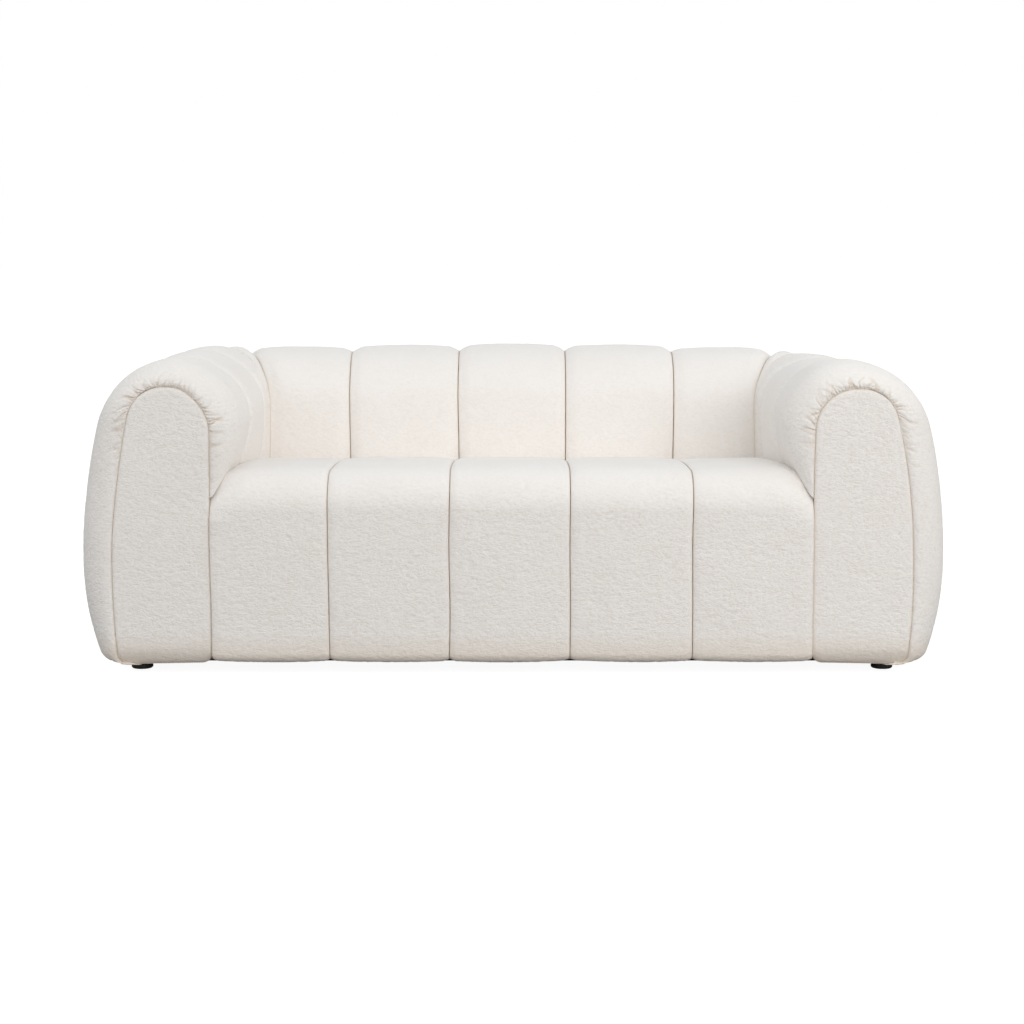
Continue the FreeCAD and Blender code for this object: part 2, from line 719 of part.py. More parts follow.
def ribs():
    """Arched boards, slotted for the rail, that carry the back's bent board, one pair of them at its ends."""
    board = number("panel_thickness")
    wall = number(SHELL)
    shape = roll_shape(1, number(BOARD_TOP) + number("gap"))
    shape["foot"] = shape["leg"]
    shape["core_in"] = number(BACK_CORE_IN) - pivot_y + wall
    shape["core_out"] = number(BACK_CORE_OUT) - pivot_y - wall
    shape["core_top"] = number("back_core_height") - wall
    end = pivot_x - number("gap") - board / 2
    play = number("gap")
    slot_width = number("stringer_width") + 2 * play
    rail_low = "%s - stringer_height" % stringer_top("back_core_width", "back_core_height")
    corner = FreeCAD.Vector(-pivot_x, number(BACK_MIDDLE) - slot_width / 2,
                            number(rail_low) - play)
    slot = Part.makeBox(2 * pivot_x, slot_width, number("back_core_height"), corner)
    solids = []
    for x in (-end, -number("rib_offset"), number("rib_offset"), end):
        wire = raise_edges(closed(core_outline(shape)),
                           lambda r, z, x=x: FreeCAD.Vector(x - board / 2, pivot_y + r, z))
        solids.append(Part.Face(wire).extrude(FreeCAD.Vector(board, 0, 0)).cut(slot))
    add(Part.makeCompound(solids), "back_ribs")


def corner_shells():
    """Bent boards that carry the frame round each rear corner."""
    wires = []
    board = number("shell_thickness")
    for angle in (0, 22.5, 45, 67.5, 90):
        shape, place_point = corner_station(angle)
        shape["foot"] = number("base_height")
        for key, sign in (("core_in", 1), ("core_out", -1), ("core_top", -1)):
            shape[key] += sign * number("gap")
        inside = dict(shape)
        for key, sign in (("core_in", 1), ("core_out", -1), ("core_top", -1)):
            inside[key] += sign * board
        edges = closed(core_outline(shape) + backwards(core_outline(inside)))
        wires.append(raise_edges(edges, place_point))
    pair(loft(wires), "corner_shell_%s")


def seat_frame():
    """Rails and boards of the seat."""
    half = "(%s + %s - gap)" % (CORE_IN, SHELL)
    across = ("-%s" % half, half)
    behind = "(%s + front_board + gap)" % RAIL_FRONT
    block("seat_front_board", across, (RAIL_FRONT, "%s + front_board" % RAIL_FRONT),
          ("seat_bottom", "spring_rail_top"))
    block("base_front_rail", across, (behind, "%s + rail_width" % behind),
          ("base_height", "base_height + rail_height"))
    block("base_rear_rail", across, ("%s - rail_width" % RAIL_REAR, RAIL_REAR),
          ("base_height", "base_height + rail_height"))
    low = "spring_rail_top - spring_rail_height"
    block("spring_front_rail", across, (behind, "%s + rail_width" % behind),
          (low, "spring_rail_top"))
    block("spring_rear_rail", across, ("%s - rail_width" % RAIL_REAR, RAIL_REAR),
          (low, "spring_rail_top"))
    block("seat_deck_pad", across, (RAIL_FRONT, RAIL_REAR),
          ("%s - deck_pad" % DECK_TOP, DECK_TOP))


def corner_blocks():
    """Triangular blocks in the corners between the lower rails and the side boards."""
    size, height = number("block_size"), number("block_height")
    gap = number("gap")
    side = number("%s + %s" % (CORE_IN, SHELL)) - gap
    front = number("%s + front_board + gap + rail_width" % RAIL_FRONT) + gap
    rear = number("%s - rail_width" % RAIL_REAR) - gap
    bottom = number(BOARD_TOP) + gap
    solids = []
    for sign in (-1, 1):
        for y, step in ((front, size), (rear, -size)):
            corners = [FreeCAD.Vector(sign * side, y, bottom),
                       FreeCAD.Vector(sign * (side - size), y, bottom),
                       FreeCAD.Vector(sign * side, y + step, bottom)]
            face = Part.Face(Part.makePolygon(corners + corners[:1]))
            solids.append(face.extrude(FreeCAD.Vector(0, 0, height)))
    add(Part.makeCompound(solids), "corner_blocks")


def springs():
    """Sinuous springs from the front rail to the rear rail, and the clips on their ends."""
    swing = number("spring_swing")
    wire = number("spring_wire")
    front = number("%s + front_board + rail_width / 2" % RAIL_FRONT)
    rear = number("%s - rail_width / 2" % RAIL_REAR)
    height = number("spring_rail_top") + wire / 2 + 0.1
    radius = (rear - front) / (4 * SPRING_WAVES)
    clip_wall, clip_width = number("clip_thickness"), number("clip_width")
    clips = []
    for i in range(SPRINGS):
        x = (i - (SPRINGS - 1) / 2) * number("spring_spacing")
        edges = []
        reach = swing - radius
        point = FreeCAD.Vector(x, front, height)
        for k in range(2 * SPRING_WAVES):
            side = 1 if k % 2 == 0 else -1
            end = FreeCAD.Vector(x + side * reach, point.y, height)
            edges.append(Part.LineSegment(point, end).toShape())
            over = FreeCAD.Vector(end.x, end.y + 2 * radius, height)
            out = FreeCAD.Vector(end.x + side * radius, end.y + radius, height)
            edges.append(Part.Arc(end, out, over).toShape())
            point = over
        edges.append(Part.LineSegment(point, FreeCAD.Vector(x, point.y, height)).toShape())
        path = Part.Wire(edges)
        start = Part.Circle(FreeCAD.Vector(x, front, height), FreeCAD.Vector(1, 0, 0), wire / 2)
        section = Part.Wire([start.toShape()])
        add(path.makePipeShell([section], True, False), "seat_spring_%d" % (i + 1))
        for y in (front, point.y):
            clips.append(clip(x, y, wire, clip_wall, clip_width))
    add(Part.makeCompound(clips), "spring_clips")


def clip(x, y, wire, wall, width):
    """A folded clip over one end of a spring, with its feet on the rail."""
    base = number("spring_rail_top")
    inner = wire / 2 + 0.3
    rise = wire + 0.3
    points = [(-inner - wall, 0), (-inner, 0), (-inner, rise), (inner, rise), (inner, 0),
              (inner + wall, 0), (inner + wall, rise + wall), (-inner - wall, rise + wall)]
    corners = [FreeCAD.Vector(x - width / 2, y + a, base + b) for a, b in points]
    face = Part.Face(Part.makePolygon(corners + corners[:1]))
    return face.extrude(FreeCAD.Vector(width, 0, 0))


def foot_spots():
    """Places of the feet on the floor."""
    front = number("%s + front_foot_setback" % SEAM_PLANE)
    rear = number("overall_depth / 2 - rear_foot_setback")
    return [(side * number(offset), y) for side in (-1, 1)
            for offset, y in (("front_foot_offset", front), ("rear_foot_offset", rear))]


def feet():
    """Four round feet and the threaded studs that hold them."""
    front = "%s + front_foot_setback" % SEAM_PLANE
    rear = "overall_depth / 2 - rear_foot_setback"
    height = "(base_height - cover_thickness - gap)"
    hole = "(stud_radius + gap / 2)"
    blind = "(%s - stud_depth)" % height
    profile = (("0", "0"), ("foot_radius - foot_chamfer", "0"), ("foot_radius", "foot_chamfer"),
               ("foot_radius", height), (hole, height), (hole, blind), ("0", blind))
    for name, sign in (("left", "-"), ("right", "")):
        for end, offset, y in (("front", "front_foot_offset", front),
                               ("rear", "rear_foot_offset", rear)):
            body = new_body("foot_%s_%s" % (end, name))
            sketch = new_sketch(body, "XZ_Plane")
            polygon(sketch, profile)
            feature = body.newObject("PartDesign::Revolution", body.Name + "_turned")
            feature.Profile = sketch
            feature.ReferenceAxis = (sketch, ["V_Axis"])
            feature.Angle = 360
            place(body, sign + offset, y)
    radius = number("stud_radius")
    low = number(blind)
    rise = number(BOARD_TOP) - low
    studs = [Part.makeCylinder(radius, rise, FreeCAD.Vector(x, y, low)) for x, y in foot_spots()]
    add(Part.makeCompound(studs), "foot_studs")


def dust_cover():
    """Cloth stretched under the base, with holes for the studs."""
    top = number("base_height") - number("gap") / 2
    sheet_thickness = number("cover_thickness")
    front = number(RAIL_FRONT)
    side, rear = number(CORE_OUT), number(BACK_CORE_OUT)
    low = top - sheet_thickness
    corners = [FreeCAD.Vector(x, y, low) for x, y in (
        (side, pivot_y), (side, front), (-side, front), (-side, pivot_y))]
    edges = [Part.LineSegment(a, b).toShape() for a, b in zip(corners, corners[1:])]
    edges += corner_arcs(side, rear, low, -1)
    edges.append(Part.LineSegment(FreeCAD.Vector(-pivot_x, rear, low),
                                  FreeCAD.Vector(pivot_x, rear, low)).toShape())
    edges += corner_arcs(side, rear, low)[::-1]
    cloth = Part.Face(Part.Wire(edges)).extrude(FreeCAD.Vector(0, 0, sheet_thickness))
    radius = number("stud_radius") + number("gap") / 2
    for x, y in foot_spots():
        cloth = cloth.cut(Part.makeCylinder(radius, 2 * top, FreeCAD.Vector(x, y, 0)))
    add(cloth, "dust_cover")


seat_channels()
seat_foam()
rolls()
facings()
arm_frames()
base_boards()
back_frame()
ribs()
corner_shells()
seat_frame()
corner_blocks()
springs()
feet()
dust_cover()
doc.recompute()

SUB_PARTS = ("PartDesign::Body", "Part::Box", "Part::Feature")
faults = [item.Name for item in doc.Objects if {"Invalid", "Error"} & set(item.State)]
parts = [item for item in doc.Objects if item.TypeId in SUB_PARTS]
faults += [item.Label for item in parts if item.Shape.isNull() or not item.Shape.isValid()]
if faults:
    raise RuntimeError("these objects failed: " + ", ".join(faults))
os.makedirs("parts", exist_ok=True)
for item in parts:
    item.Shape.exportStep("parts/%s.step" % item.Label)
print(len(parts), "sub-parts written")
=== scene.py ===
import json
import math

import bpy
import numpy as np
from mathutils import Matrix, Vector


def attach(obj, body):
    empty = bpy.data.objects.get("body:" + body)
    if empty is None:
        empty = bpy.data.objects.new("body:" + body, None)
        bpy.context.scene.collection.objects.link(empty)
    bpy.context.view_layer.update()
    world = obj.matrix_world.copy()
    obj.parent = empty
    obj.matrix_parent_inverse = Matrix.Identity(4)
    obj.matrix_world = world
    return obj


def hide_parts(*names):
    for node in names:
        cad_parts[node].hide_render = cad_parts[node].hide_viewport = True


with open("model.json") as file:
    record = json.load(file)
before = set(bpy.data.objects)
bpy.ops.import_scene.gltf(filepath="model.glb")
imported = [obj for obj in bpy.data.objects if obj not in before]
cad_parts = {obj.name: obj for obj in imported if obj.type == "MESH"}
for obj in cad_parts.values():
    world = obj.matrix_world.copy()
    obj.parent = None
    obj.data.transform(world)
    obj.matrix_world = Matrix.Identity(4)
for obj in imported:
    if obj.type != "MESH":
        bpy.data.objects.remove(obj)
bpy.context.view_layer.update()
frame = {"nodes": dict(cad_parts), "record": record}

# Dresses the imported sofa: soft channels, facings, stitching, materials, light and camera.
# Metres throughout: +X to the right of a viewer who faces the sofa, +Y to the rear, +Z up.

STEP = 0.0026      # spacing of a channel's points
MM = 0.001
FLIP = np.array([-1, 1, 1])    # from the right side to the left one

# The shape of the sofa, as the source has it

FRONT = -0.450                 # plane of the facing seams
EDGE_Y, EDGE_R = -0.370, 0.095     # axis and radius of the seat's front edge
SEAT_TOP, SEAT_DROP, SEAT_RUN = 0.474, 0.034, 0.520    # crown, and its fall over a run
SEAT_R = (SEAT_RUN ** 2 + SEAT_DROP ** 2) / (2 * SEAT_DROP)
SEAT_REAR, SEAT_FOOT, SEAT_HEM = 0.2142, 0.030, 0.024
SEAT_HALF = 0.685
SEAT_SEAMS = (-SEAT_HALF, -0.417, -0.142, 0.132, 0.410, SEAT_HALF)
BACK_SEAMS = (-0.411, -0.137, 0.137, 0.411)
ARM_SEAMS = (0.277, 0.554)     # behind the facing seam
HEM, UNDER = 0.025, 0.03       # radius of a hem, and how far the cover runs on under it
PIVOT = np.array([0.610, 0.144])   # upright axis of the right corner
MITRE, WEDGE = 47.0, 66.5      # angles round it where the corner's wedge starts and ends
ARM_TURN, BACK_TURN = 0.30, 0.25   # radii that give the width of what turns round it
ARM = dict(inner=0.006, outer=0.384, top=0.715, apex=0.154, bend=0.140, widest=0.249,
           lean=13.5, draw_in=0.035, foot=0.028, core_in=0.0896, core_out=0.2704,
           core_top=0.6364, tuck=0.009)
BACK = dict(ARM, outer=0.321, top=0.720, apex=0.156, core_in=0.0706, core_out=0.2414)
FACING = dict(inner=0.075, outer=0.301, top=0.655, apex=0.177, bend=0.094, draw_in=0.007,
              tuck=0.0)
TUCK_RISE = 0.13               # height over which the foot of a leg is tucked in
SINK = 0.0032                  # depth of the facing's seam
ROLL, ROLL_SLACK = 0.085, 0.055    # depth of the front roll, and its extra length
ROLL_LENGTH = ROLL + ROLL_SLACK
FRONT_WIDTH = ARM_SEAMS[0] + ROLL_SLACK

# Of a channel: how far its two seams lie below its crown, how wide their valleys are, how
# much of the fall is a crown over the whole width, whether a seam ends in a corner, and how
# strongly the loops' relief and the painted shade in their hollows show. A form may also
# name a quiet seam, 0 the first and 1 the last, whose tint stops at the corner's lower part.
FALL, MITRE_FALL, WEDGE_FALL = 0.018, 0.010, 0.024
ROLL_FORM = dict(seams=(FALL, FALL), spread=0.032, crown=0.006, corners=(False, False),
                 nap=1.0)
SEAT_FORM = dict(seams=(0.009, 0.009), spread=0.018, crown=0.0035, corners=(False, False),
                 nap=1.0)
# Strength of the loops' relief and of their painted shade on the corners and the back
FAR_RELIEF_AND_SHADE = 0.55                 # of the corners and the back

RELIEF, UNEVEN, PUCKER = 0.6 * MM, 1.6 * MM, 1.1 * MM
CALM, TINT = 0.004, 0.0016     # how far a seam calms the relief and darkens the cloth

# Smooth seeded noise

random = np.random.default_rng(23)
PERM = random.permutation(256)
LEVELS = random.uniform(-1, 1, 256)


def noise(points, seed=0):
    """Smooth noise between -1 and 1, one cell per unit, at an array of points."""
    cell = np.floor(points).astype(np.int64)
    f = points - cell
    f = f * f * (3 - 2 * f)
    total = np.zeros(len(points))
    for corner in range(8):
        step = np.array([corner & 1, corner >> 1 & 1, corner >> 2 & 1])
        c = cell + step
        h = PERM[(c[:, 0] + 17 * seed) & 255]
        h = PERM[(h + c[:, 1]) & 255]
        h = PERM[(h + c[:, 2]) & 255]
        w = np.where(step, f, 1 - f)
        total += w[:, 0] * w[:, 1] * w[:, 2] * LEVELS[h]
    return total


def boucle(points):
    """Height of the looped yarn, about -1 to 1: short worms that lie on their side."""
    q = points / np.array([10.5, 8.5, 5.0]) / MM
    warp = np.stack([noise(q * 0.6, 3), noise(q * 0.6, 4), noise(q * 0.6, 5)], 1)
    worms = 1 - 2.6 * np.abs(noise(q + 0.8 * warp, 6))
    return 0.75 * worms + 0.35 * noise(q * 1.9, 7)


def loops(points, calm):
    """Relief of the fabric, where calm falls to 0 at a seam."""
    return RELIEF * boucle(points) * (0.35 + 0.65 * calm)


def smooth(value, start, end):
    """Rises from 0 at start to 1 at end."""
    t = np.clip((value - start) / (end - start), 0, 1)
    return t * t * (3 - 2 * t)


def settle(points):
    """The points with the small differences between the two ends of a hand-built sofa.

    The tops of the arms and channels rise or fall by millimetres, the right arm's more
    towards the rear, and the seams wander a little sideways.
    """
    x, y, z = points.reshape(-1, 3).T
    up = smooth(z, 0.38, 0.68)
    rear = smooth(y, -0.32, 0.05)
    left, right = smooth(-x, 0.68, 0.76), smooth(x, 0.62, 0.70)
    outer_left = smooth(-x, 0.39, 0.45) * (1 - left)
    outer_right = smooth(x, 0.39, 0.45) * (1 - right)
    middle = 1 - smooth(np.abs(x), 0.10, 0.17)
    rise = 0.006 * left - 0.005 * outer_left + 0.002 * middle - 0.007 * outer_right
    rise += (0.0015 - 0.0155 * rear) * right
    side = 0.005 * smooth(-x, 0.80, 0.98) + 0.002 * smooth(x, 0.80, 0.98)
    moved = np.stack([x + side, y, z + up * rise], 1)
    wander = noise(moved / 0.15, 31)
    moved[:, 0] += 2.2 * MM * wander
    return moved.reshape(points.shape)


def handmade(points):
    """Slow unevenness of hand-laid padding, about -1 to 1."""
    return 0.7 * noise(points / 0.16, 8) + 0.3 * noise(points / 0.06, 9)


# Meshes

def new_object(name, vertices, faces, material, attributes=None):
    """A smooth object of one material, with attributes on its points."""
    mesh = bpy.data.meshes.new(name)
    mesh.from_pydata(vertices.tolist(), [], faces)
    mesh.polygons.foreach_set("use_smooth", [True] * len(faces))
    for key, values in (attributes or {}).items():
        attribute = mesh.attributes.new(key, "FLOAT", "POINT")
        attribute.data.foreach_set("value", values)
    mesh.materials.append(material)
    mesh.update()
    item = bpy.data.objects.new(name, mesh)
    bpy.context.scene.collection.objects.link(item)
    return item


def surface_normals(grid):
    """Unit normals of a grid of points, by central differences."""
    along = np.gradient(grid, axis=0)
    across = np.gradient(grid, axis=1)
    normal = np.cross(along, across)
    return normal / np.maximum(np.linalg.norm(normal, axis=2, keepdims=True), 1e-12)


def blanket(name, outer, inner, material, attributes):
    """A closed pad: an outer grid (across, along), and two inner rows under its two sides."""
    rows, columns = outer.shape[:2]
    vertices = np.concatenate([outer.reshape(-1, 3), inner.reshape(-1, 3)])
    index = np.arange(rows * columns).reshape(rows, columns)
    under = rows * columns + np.arange(2 * columns).reshape(2, columns)
    quads = [np.stack([index[:-1, :-1], index[1:, :-1], index[1:, 1:], index[:-1, 1:]], 2)]
    quads.append(np.stack([under[0, :-1], index[0, :-1], index[0, 1:], under[0, 1:]], 1)[None])
    quads.append(np.stack([index[-1, :-1], under[1, :-1], under[1, 1:], index[-1, 1:]], 1)[None])
    quads.append(np.stack([under[1, :-1], under[0, :-1], under[0, 1:], under[1, 1:]], 1)[None])
    faces = np.concatenate([q.reshape(-1, 4) for q in quads]).tolist()
    for column, turn in ((0, 1), (columns - 1, -1)):
        a, b = int(under[0, column]), int(under[1, column])
        row = index[:, column].tolist()
        middle = rows // 2
        fan = [[a, row[i + 1], row[i]] for i in range(middle)]
        fan += [[b, row[i + 1], row[i]] for i in range(middle, rows - 1)]
        fan.append([a, b, row[middle]])
        faces += [face[::turn] for face in fan]
    for key in attributes:
        attributes[key] = np.concatenate([attributes[key].ravel(), np.zeros(2 * columns)])
    item = new_object(name, vertices, faces, material, attributes)
    outward(item)
    return item


def outward(item):
    """Turns the faces of a closed mesh outward."""
    mesh = item.data
    mesh.calc_loop_triangles()
    triangles = np.zeros(3 * len(mesh.loop_triangles), dtype=np.int32)
    mesh.loop_triangles.foreach_get("vertices", triangles)
    points = np.zeros(3 * len(mesh.vertices))
    mesh.vertices.foreach_get("co", points)
    a, b, c = points.reshape(-1, 3)[triangles.reshape(-1, 3)].transpose(1, 0, 2)
    if np.einsum("ij,ij->i", a, np.cross(b, c)).sum() < 0:
        mesh.flip_normals()


# Sections: a path from the leg on the seat, over the top and down the outside

def arc(centre, radius, start, end, count):
    """Points and outward normals of an arc, angles in degrees."""
    angles = np.radians(np.linspace(start, end, count))
    normal = np.stack([np.cos(angles), np.sin(angles)], 1)
    return np.array(centre) + radius * normal, normal


def line(start, end, normal, count):
    """Points of a straight stretch, with one normal for all."""
    share = np.linspace(0, 1, count)[:, None]
    return np.array(start) * (1 - share) + np.array(end) * share, np.tile(normal, (count, 1))


def joined(parts):
    """A path's points and normals, from parts that share their end points."""
    return [np.concatenate([parts[0][k]] + [part[k][1:] for part in parts[1:]])
            for k in (0, 1)]


def resampled(route, count):
    """Points at even distances along a route."""
    length = np.concatenate([[0], np.cumsum(np.linalg.norm(np.diff(route, axis=0), axis=1))])
    at = np.linspace(0, length[-1], count)
    return np.stack([np.interp(at, length, route[:, k]) for k in (0, 1)], 1)


def roll_path(shape, counts):
    """Points and normals of an arm's or the back's surface, in a plane out from its base."""
    inner, outer, top, apex = shape["inner"], shape["outer"], shape["top"], shape["apex"]
    widest, lean, foot = shape["widest"], math.radians(shape["lean"]), shape["foot"]
    bend = min(shape["bend"], apex - inner - MM)
    cos, sin = math.cos(lean), math.sin(lean)
    run, rise = outer - apex, top - widest
    side = (rise * cos - run * (1 - sin)) / (sin + cos - 1)
    crest = (run * sin - rise * (1 - cos)) / (sin + cos - 1)
    fall = widest - foot - 0.8 * HEM
    lower = (fall ** 2 + shape["draw_in"] ** 2) / (2 * shape["draw_in"])
    sweep = math.asin(fall / lower)
    aside = np.array([math.cos(sweep), -math.sin(sweep)])
    end = np.array([outer - lower, widest]) + lower * aside
    hem = end - HEM * aside
    degrees = math.degrees(sweep)
    points, normals = joined([
        line((inner, shape["leg"]), (inner, top - bend), (-1, 0), counts[0]),
        arc((inner + bend, top - bend), bend, 180, 90, counts[1]),
        line((inner + bend, top), (apex, top), (0, 1), counts[2]),
        arc((apex, top - crest), crest, 90, shape["lean"], counts[3]),
        arc((outer - side, widest), side, shape["lean"], 0, counts[4]),
        arc((outer - lower, widest), lower, 0, -degrees, counts[5]),
        arc(hem, HEM, -degrees, -90, counts[6]),
        line(hem - (0, HEM), hem - (UNDER, HEM), (0, -1), counts[7]),
    ])
    tuck = np.clip(1 - (points[:, 1] - shape["leg"]) / TUCK_RISE, 0, 1)
    points[:, 0] += np.where(np.arange(len(points)) < counts[0], shape["tuck"] * tuck ** 2, 0)
    return points, normals


def path_counts(lengths, step):
    """How many points each part of a path gets."""
    return [max(3, int(round(length / step)) + 1) for length in lengths]


def core_path(shape, count):
    """Points under the pad, from the leg to the outer foot."""
    inner, outer = shape["core_in"], shape["core_out"]
    radius = (outer - inner) / 2
    centre = (inner + radius, shape["core_top"] - radius)
    route = np.concatenate([
        line((inner, min(shape["leg"], centre[1])), (inner, centre[1]), (0, 0), 9)[0],
        arc(centre, radius, 180, 0, 33)[0],
        line((outer, centre[1]), (outer, shape["foot"] + MM), (0, 0), 9)[0]])
    return resampled(route, count)


def seat_height(y):
    """Height of the seat's crown at a depth."""
    y = np.asarray(y, float)
    front = SEAT_TOP - EDGE_R + np.sqrt(np.maximum(0, EDGE_R ** 2 - (EDGE_Y - y) ** 2))
    rear = SEAT_TOP - SEAT_R + np.sqrt(SEAT_R ** 2 - (y - EDGE_Y) ** 2)
    return np.where(y < EDGE_Y, front, rear)


def seat_shoulder(from_side):
    """How far the seat falls beside an arm."""
    return 0.022 * np.clip(1 - from_side / 0.09, 0, 1) ** 2


def seat_press(x):
    """How far the seat's cover lies below its crown at a place across it."""
    x = np.asarray(x, float)
    seams = np.array(SEAT_SEAMS)
    index = np.clip(np.searchsorted(seams, x) - 1, 0, len(seams) - 2)
    left, right = seams[index], seams[index + 1]
    share = np.clip((x - left) / (right - left), 0, 1)
    press = fullness(share, right - left, SEAT_FORM)
    return press + seat_shoulder(np.clip(SEAT_HALF - np.abs(x), 0, 1))


def resting(x, y):
    """Height at which a leg touches the seat."""
    spot = np.array([[x, y, float(seat_height(y))]])
    return float(seat_height(y) - seat_press(x) + UNEVEN * handmade(spot)[0]) - 4 * MM


def blended(a, b, share):
    """A shape between two others."""
    return {key: a[key] + (b[key] - a[key]) * share for key in a}


# Stations: the shape of a section, and where its points lie

def arm_station(y):
    """A section of the arm, whose leg is tucked in further towards the front."""
    tuck = ARM["tuck"] + 0.025 * min(max((0.13 - y) / 0.415, 0), 1.1)
    shape = dict(ARM, leg=resting(PIVOT[0] + ARM["inner"] + tuck, y), tuck=tuck)
    return shape, lambda r, z: np.stack([PIVOT[0] + r, np.full_like(r, y), z], 1)


def reach(angle, sideways, rearward):
    """Radius of an ellipse at an angle."""
    return 1 / math.hypot(math.cos(angle) / sideways, math.sin(angle) / rearward)


def corner_station(angle):
    """A section that is turned round the corner's axis, from the arm at 0 to the back at 90."""
    turned = math.radians(angle)
    shape = blended(ARM, BACK, angle / 90)
    shape["outer"] = reach(turned, ARM["outer"], BACK["outer"])
    shape["core_out"] = reach(turned, ARM["core_out"], BACK["core_out"])
    shape["leg"] = resting(PIVOT[0] + 0.012 * math.cos(turned), PIVOT[1])
    cos, sin = math.cos(turned), math.sin(turned)
    return shape, lambda r, z: np.stack([PIVOT[0] + r * cos, PIVOT[1] + r * sin, z], 1)


def back_station(x):
    """A section of the back."""
    shape = dict(BACK, leg=resting(x, PIVOT[1] + BACK["inner"] + BACK["tuck"]))
    return shape, lambda r, z: np.stack([np.full_like(r, x), PIVOT[1] + r, z], 1)


# Channels

def shares(width):
    """Places across a channel, closer together towards its two seams."""
    near = np.array([0, 0.5, 1.1, 1.9, 2.9, 4.2, 5.8, 7.7, 10.0]) * MM
    middle = width - 2 * near[-1]
    count = max(2, int(round(middle / STEP)))
    inside = near[-1] + middle * np.arange(1, count) / count
    return np.concatenate([near, inside, width - near[::-1]]) / width


def fullness(share, width, form):
    """How far the cover lies below the crown across a channel."""
    crown, spread = form["crown"], form["spread"]
    total = crown * (2 * share - 1) ** 2
    for fall, from_seam in zip(form["seams"], (share * width, (1 - share) * width)):
        bowl = np.clip(1 - from_seam / spread, 0, 1) ** 1.7
        total = total + (fall - crown - MM) * bowl + MM * np.exp(-from_seam / 0.0011)
    return total


def ripple(along, edge, seed):
    """Small puckers that the stitching pulls into the cover beside a seam."""
    flat = np.stack([along / 0.017, np.full_like(along, 3.1 * seed), edge / 0.03], 1)
    return noise(flat, 12) * np.exp(-edge / 0.012)


seam_lines = {}                # the seams of each cover, for the stitches


def run_length(points, axis):
    """Distance covered along one direction of a grid of points."""
    step = np.linalg.norm(np.diff(points, axis=axis), axis=-1)
    return np.concatenate([np.zeros_like(np.take(step, [0], axis)), np.cumsum(step, axis)], axis)


def finish_channel(name, base, normals, inner, form, mirror, extra_press=0.0, folds=None):
    """Presses the seams into a channel's crown surface and gives it its cover.

    Folds are what the facing's seam gathers in an arm's front roll. There only the rear
    seam is pressed in.
    """
    across = run_length(base, 0)
    width = across[-1]
    wide = np.maximum(width, MM)
    share = across / wide
    height = base[:, :, 2]
    inner_leg = np.arange(base.shape[1]) < base.shape[1] // 2
    first, last = form["seams"]
    deepest = first * (1 - share) + last * share
    room = np.clip(width / (2 * form["spread"]), 0, 1)
    press = deepest - (deepest - fullness(share, wide, form)) * room
    for corner, from_seam in zip(form["corners"], (across, width - across)):
        if corner:
            below = (1 - smooth(height, 0.56, 0.70)) * inner_leg
            press *= 1 - 0.85 * below * np.clip(1 - from_seam / 0.06, 0, 1)
    if folds is None:
        folds = np.zeros_like(press)
    else:
        press *= smooth(share, 0.3, 0.6)
    folds = folds.ravel()
    pressed = base - normals * (press + extra_press)[:, :, None]
    true_normals = surface_normals(pressed)
    true_normals = true_normals * (np.sign((true_normals * normals).sum(2).mean()) or 1)
    flat = pressed.reshape(-1, 3)
    edges = np.minimum(across, width - across).ravel()
    calm = 1 - np.exp(-edges / CALM)
    bump = loops(flat, calm)
    bump += UNEVEN * handmade(flat) * np.minimum(1, edges / 0.012)
    bump += PUCKER * ripple(run_length(pressed, 1).ravel(), edges, len(seam_lines)) * calm
    outer = flat + true_normals.reshape(-1, 3) * (bump - MM - folds)[:, None]
    outer = outer.reshape(base.shape)

    tint = np.exp(-edges / TINT)
    if "quiet" in form:
        hushed = (share < 0.5) == (form["quiet"] == 0)
        below = (1 - smooth(height, 0.66, 0.70)) * inner_leg
        tint = tint * (1 - (below * hushed).ravel())
    # The loops' relief and their painted shade are weaker on upward faces.
    upward = np.clip(true_normals[:, :, 2], 0, 1).ravel()
    # Painted shade in the gathers' folds: the deeper a fold, the browner the cloth there.
    attributes = {"seam": tint, "crease_shade": np.clip((folds - 0.0004) / 0.0026, 0, 1),
                  "nap": (1 - 0.8 * upward) * form["nap"]}
    paths = [outer[end] + normals[end] * 0.7 * MM for end in (0, -1)]
    if mirror:
        outer, inner, paths = outer * FLIP, inner * FLIP, [path * FLIP for path in paths]
    seam_lines[name] = [settle(path) for path in paths]
    return blanket(name, settle(outer), settle(inner), boucle_cloth, attributes)


def roll_channel(name, station_at, width, mirror=False, gathers=None, **changes):
    """A channel of an arm, a corner or the back, through stations across its width."""
    share = shares(width)
    shape = station_at(0.5)[0]
    flat_top = max(0.004, shape["apex"] - shape["inner"] - shape["bend"])
    lengths = (shape["top"] - shape["bend"] - shape["leg"], 1.57 * shape["bend"], flat_top,
               0.30, 0.27, shape["widest"] - shape["foot"], 1.3 * HEM, UNDER)
    counts = path_counts(lengths, STEP * 1.15)
    if gathers:
        counts[1:4] = path_counts(lengths[1:4], STEP * 0.5)
    counts[6] = max(counts[6], 6)
    base, normals, inner = [], [], []
    for s in share:
        shape, place_point = station_at(s)
        points, normal = roll_path(shape, counts)
        base.append(place_point(points[:, 0], points[:, 1]))
        ahead = place_point(points[:, 0] + normal[:, 0], points[:, 1] + normal[:, 1])
        normals.append(ahead - base[-1])
        if s in (share[0], share[-1]):
            core = core_path(shape, len(points))
            inner.append(place_point(core[:, 0], core[:, 1]))
    base, normals, inner = np.array(base), np.array(normals), np.array(inner)
    folds = gathers(share * width, base) if gathers else None
    return finish_channel(name, base, normals, inner, dict(ROLL_FORM, **changes), mirror,
                          folds=folds)


def declared(item, replaced):
    """Hangs a cover under the root body and hides the one node it takes the place of."""
    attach(item, "root")
    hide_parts(replaced)


# Materials

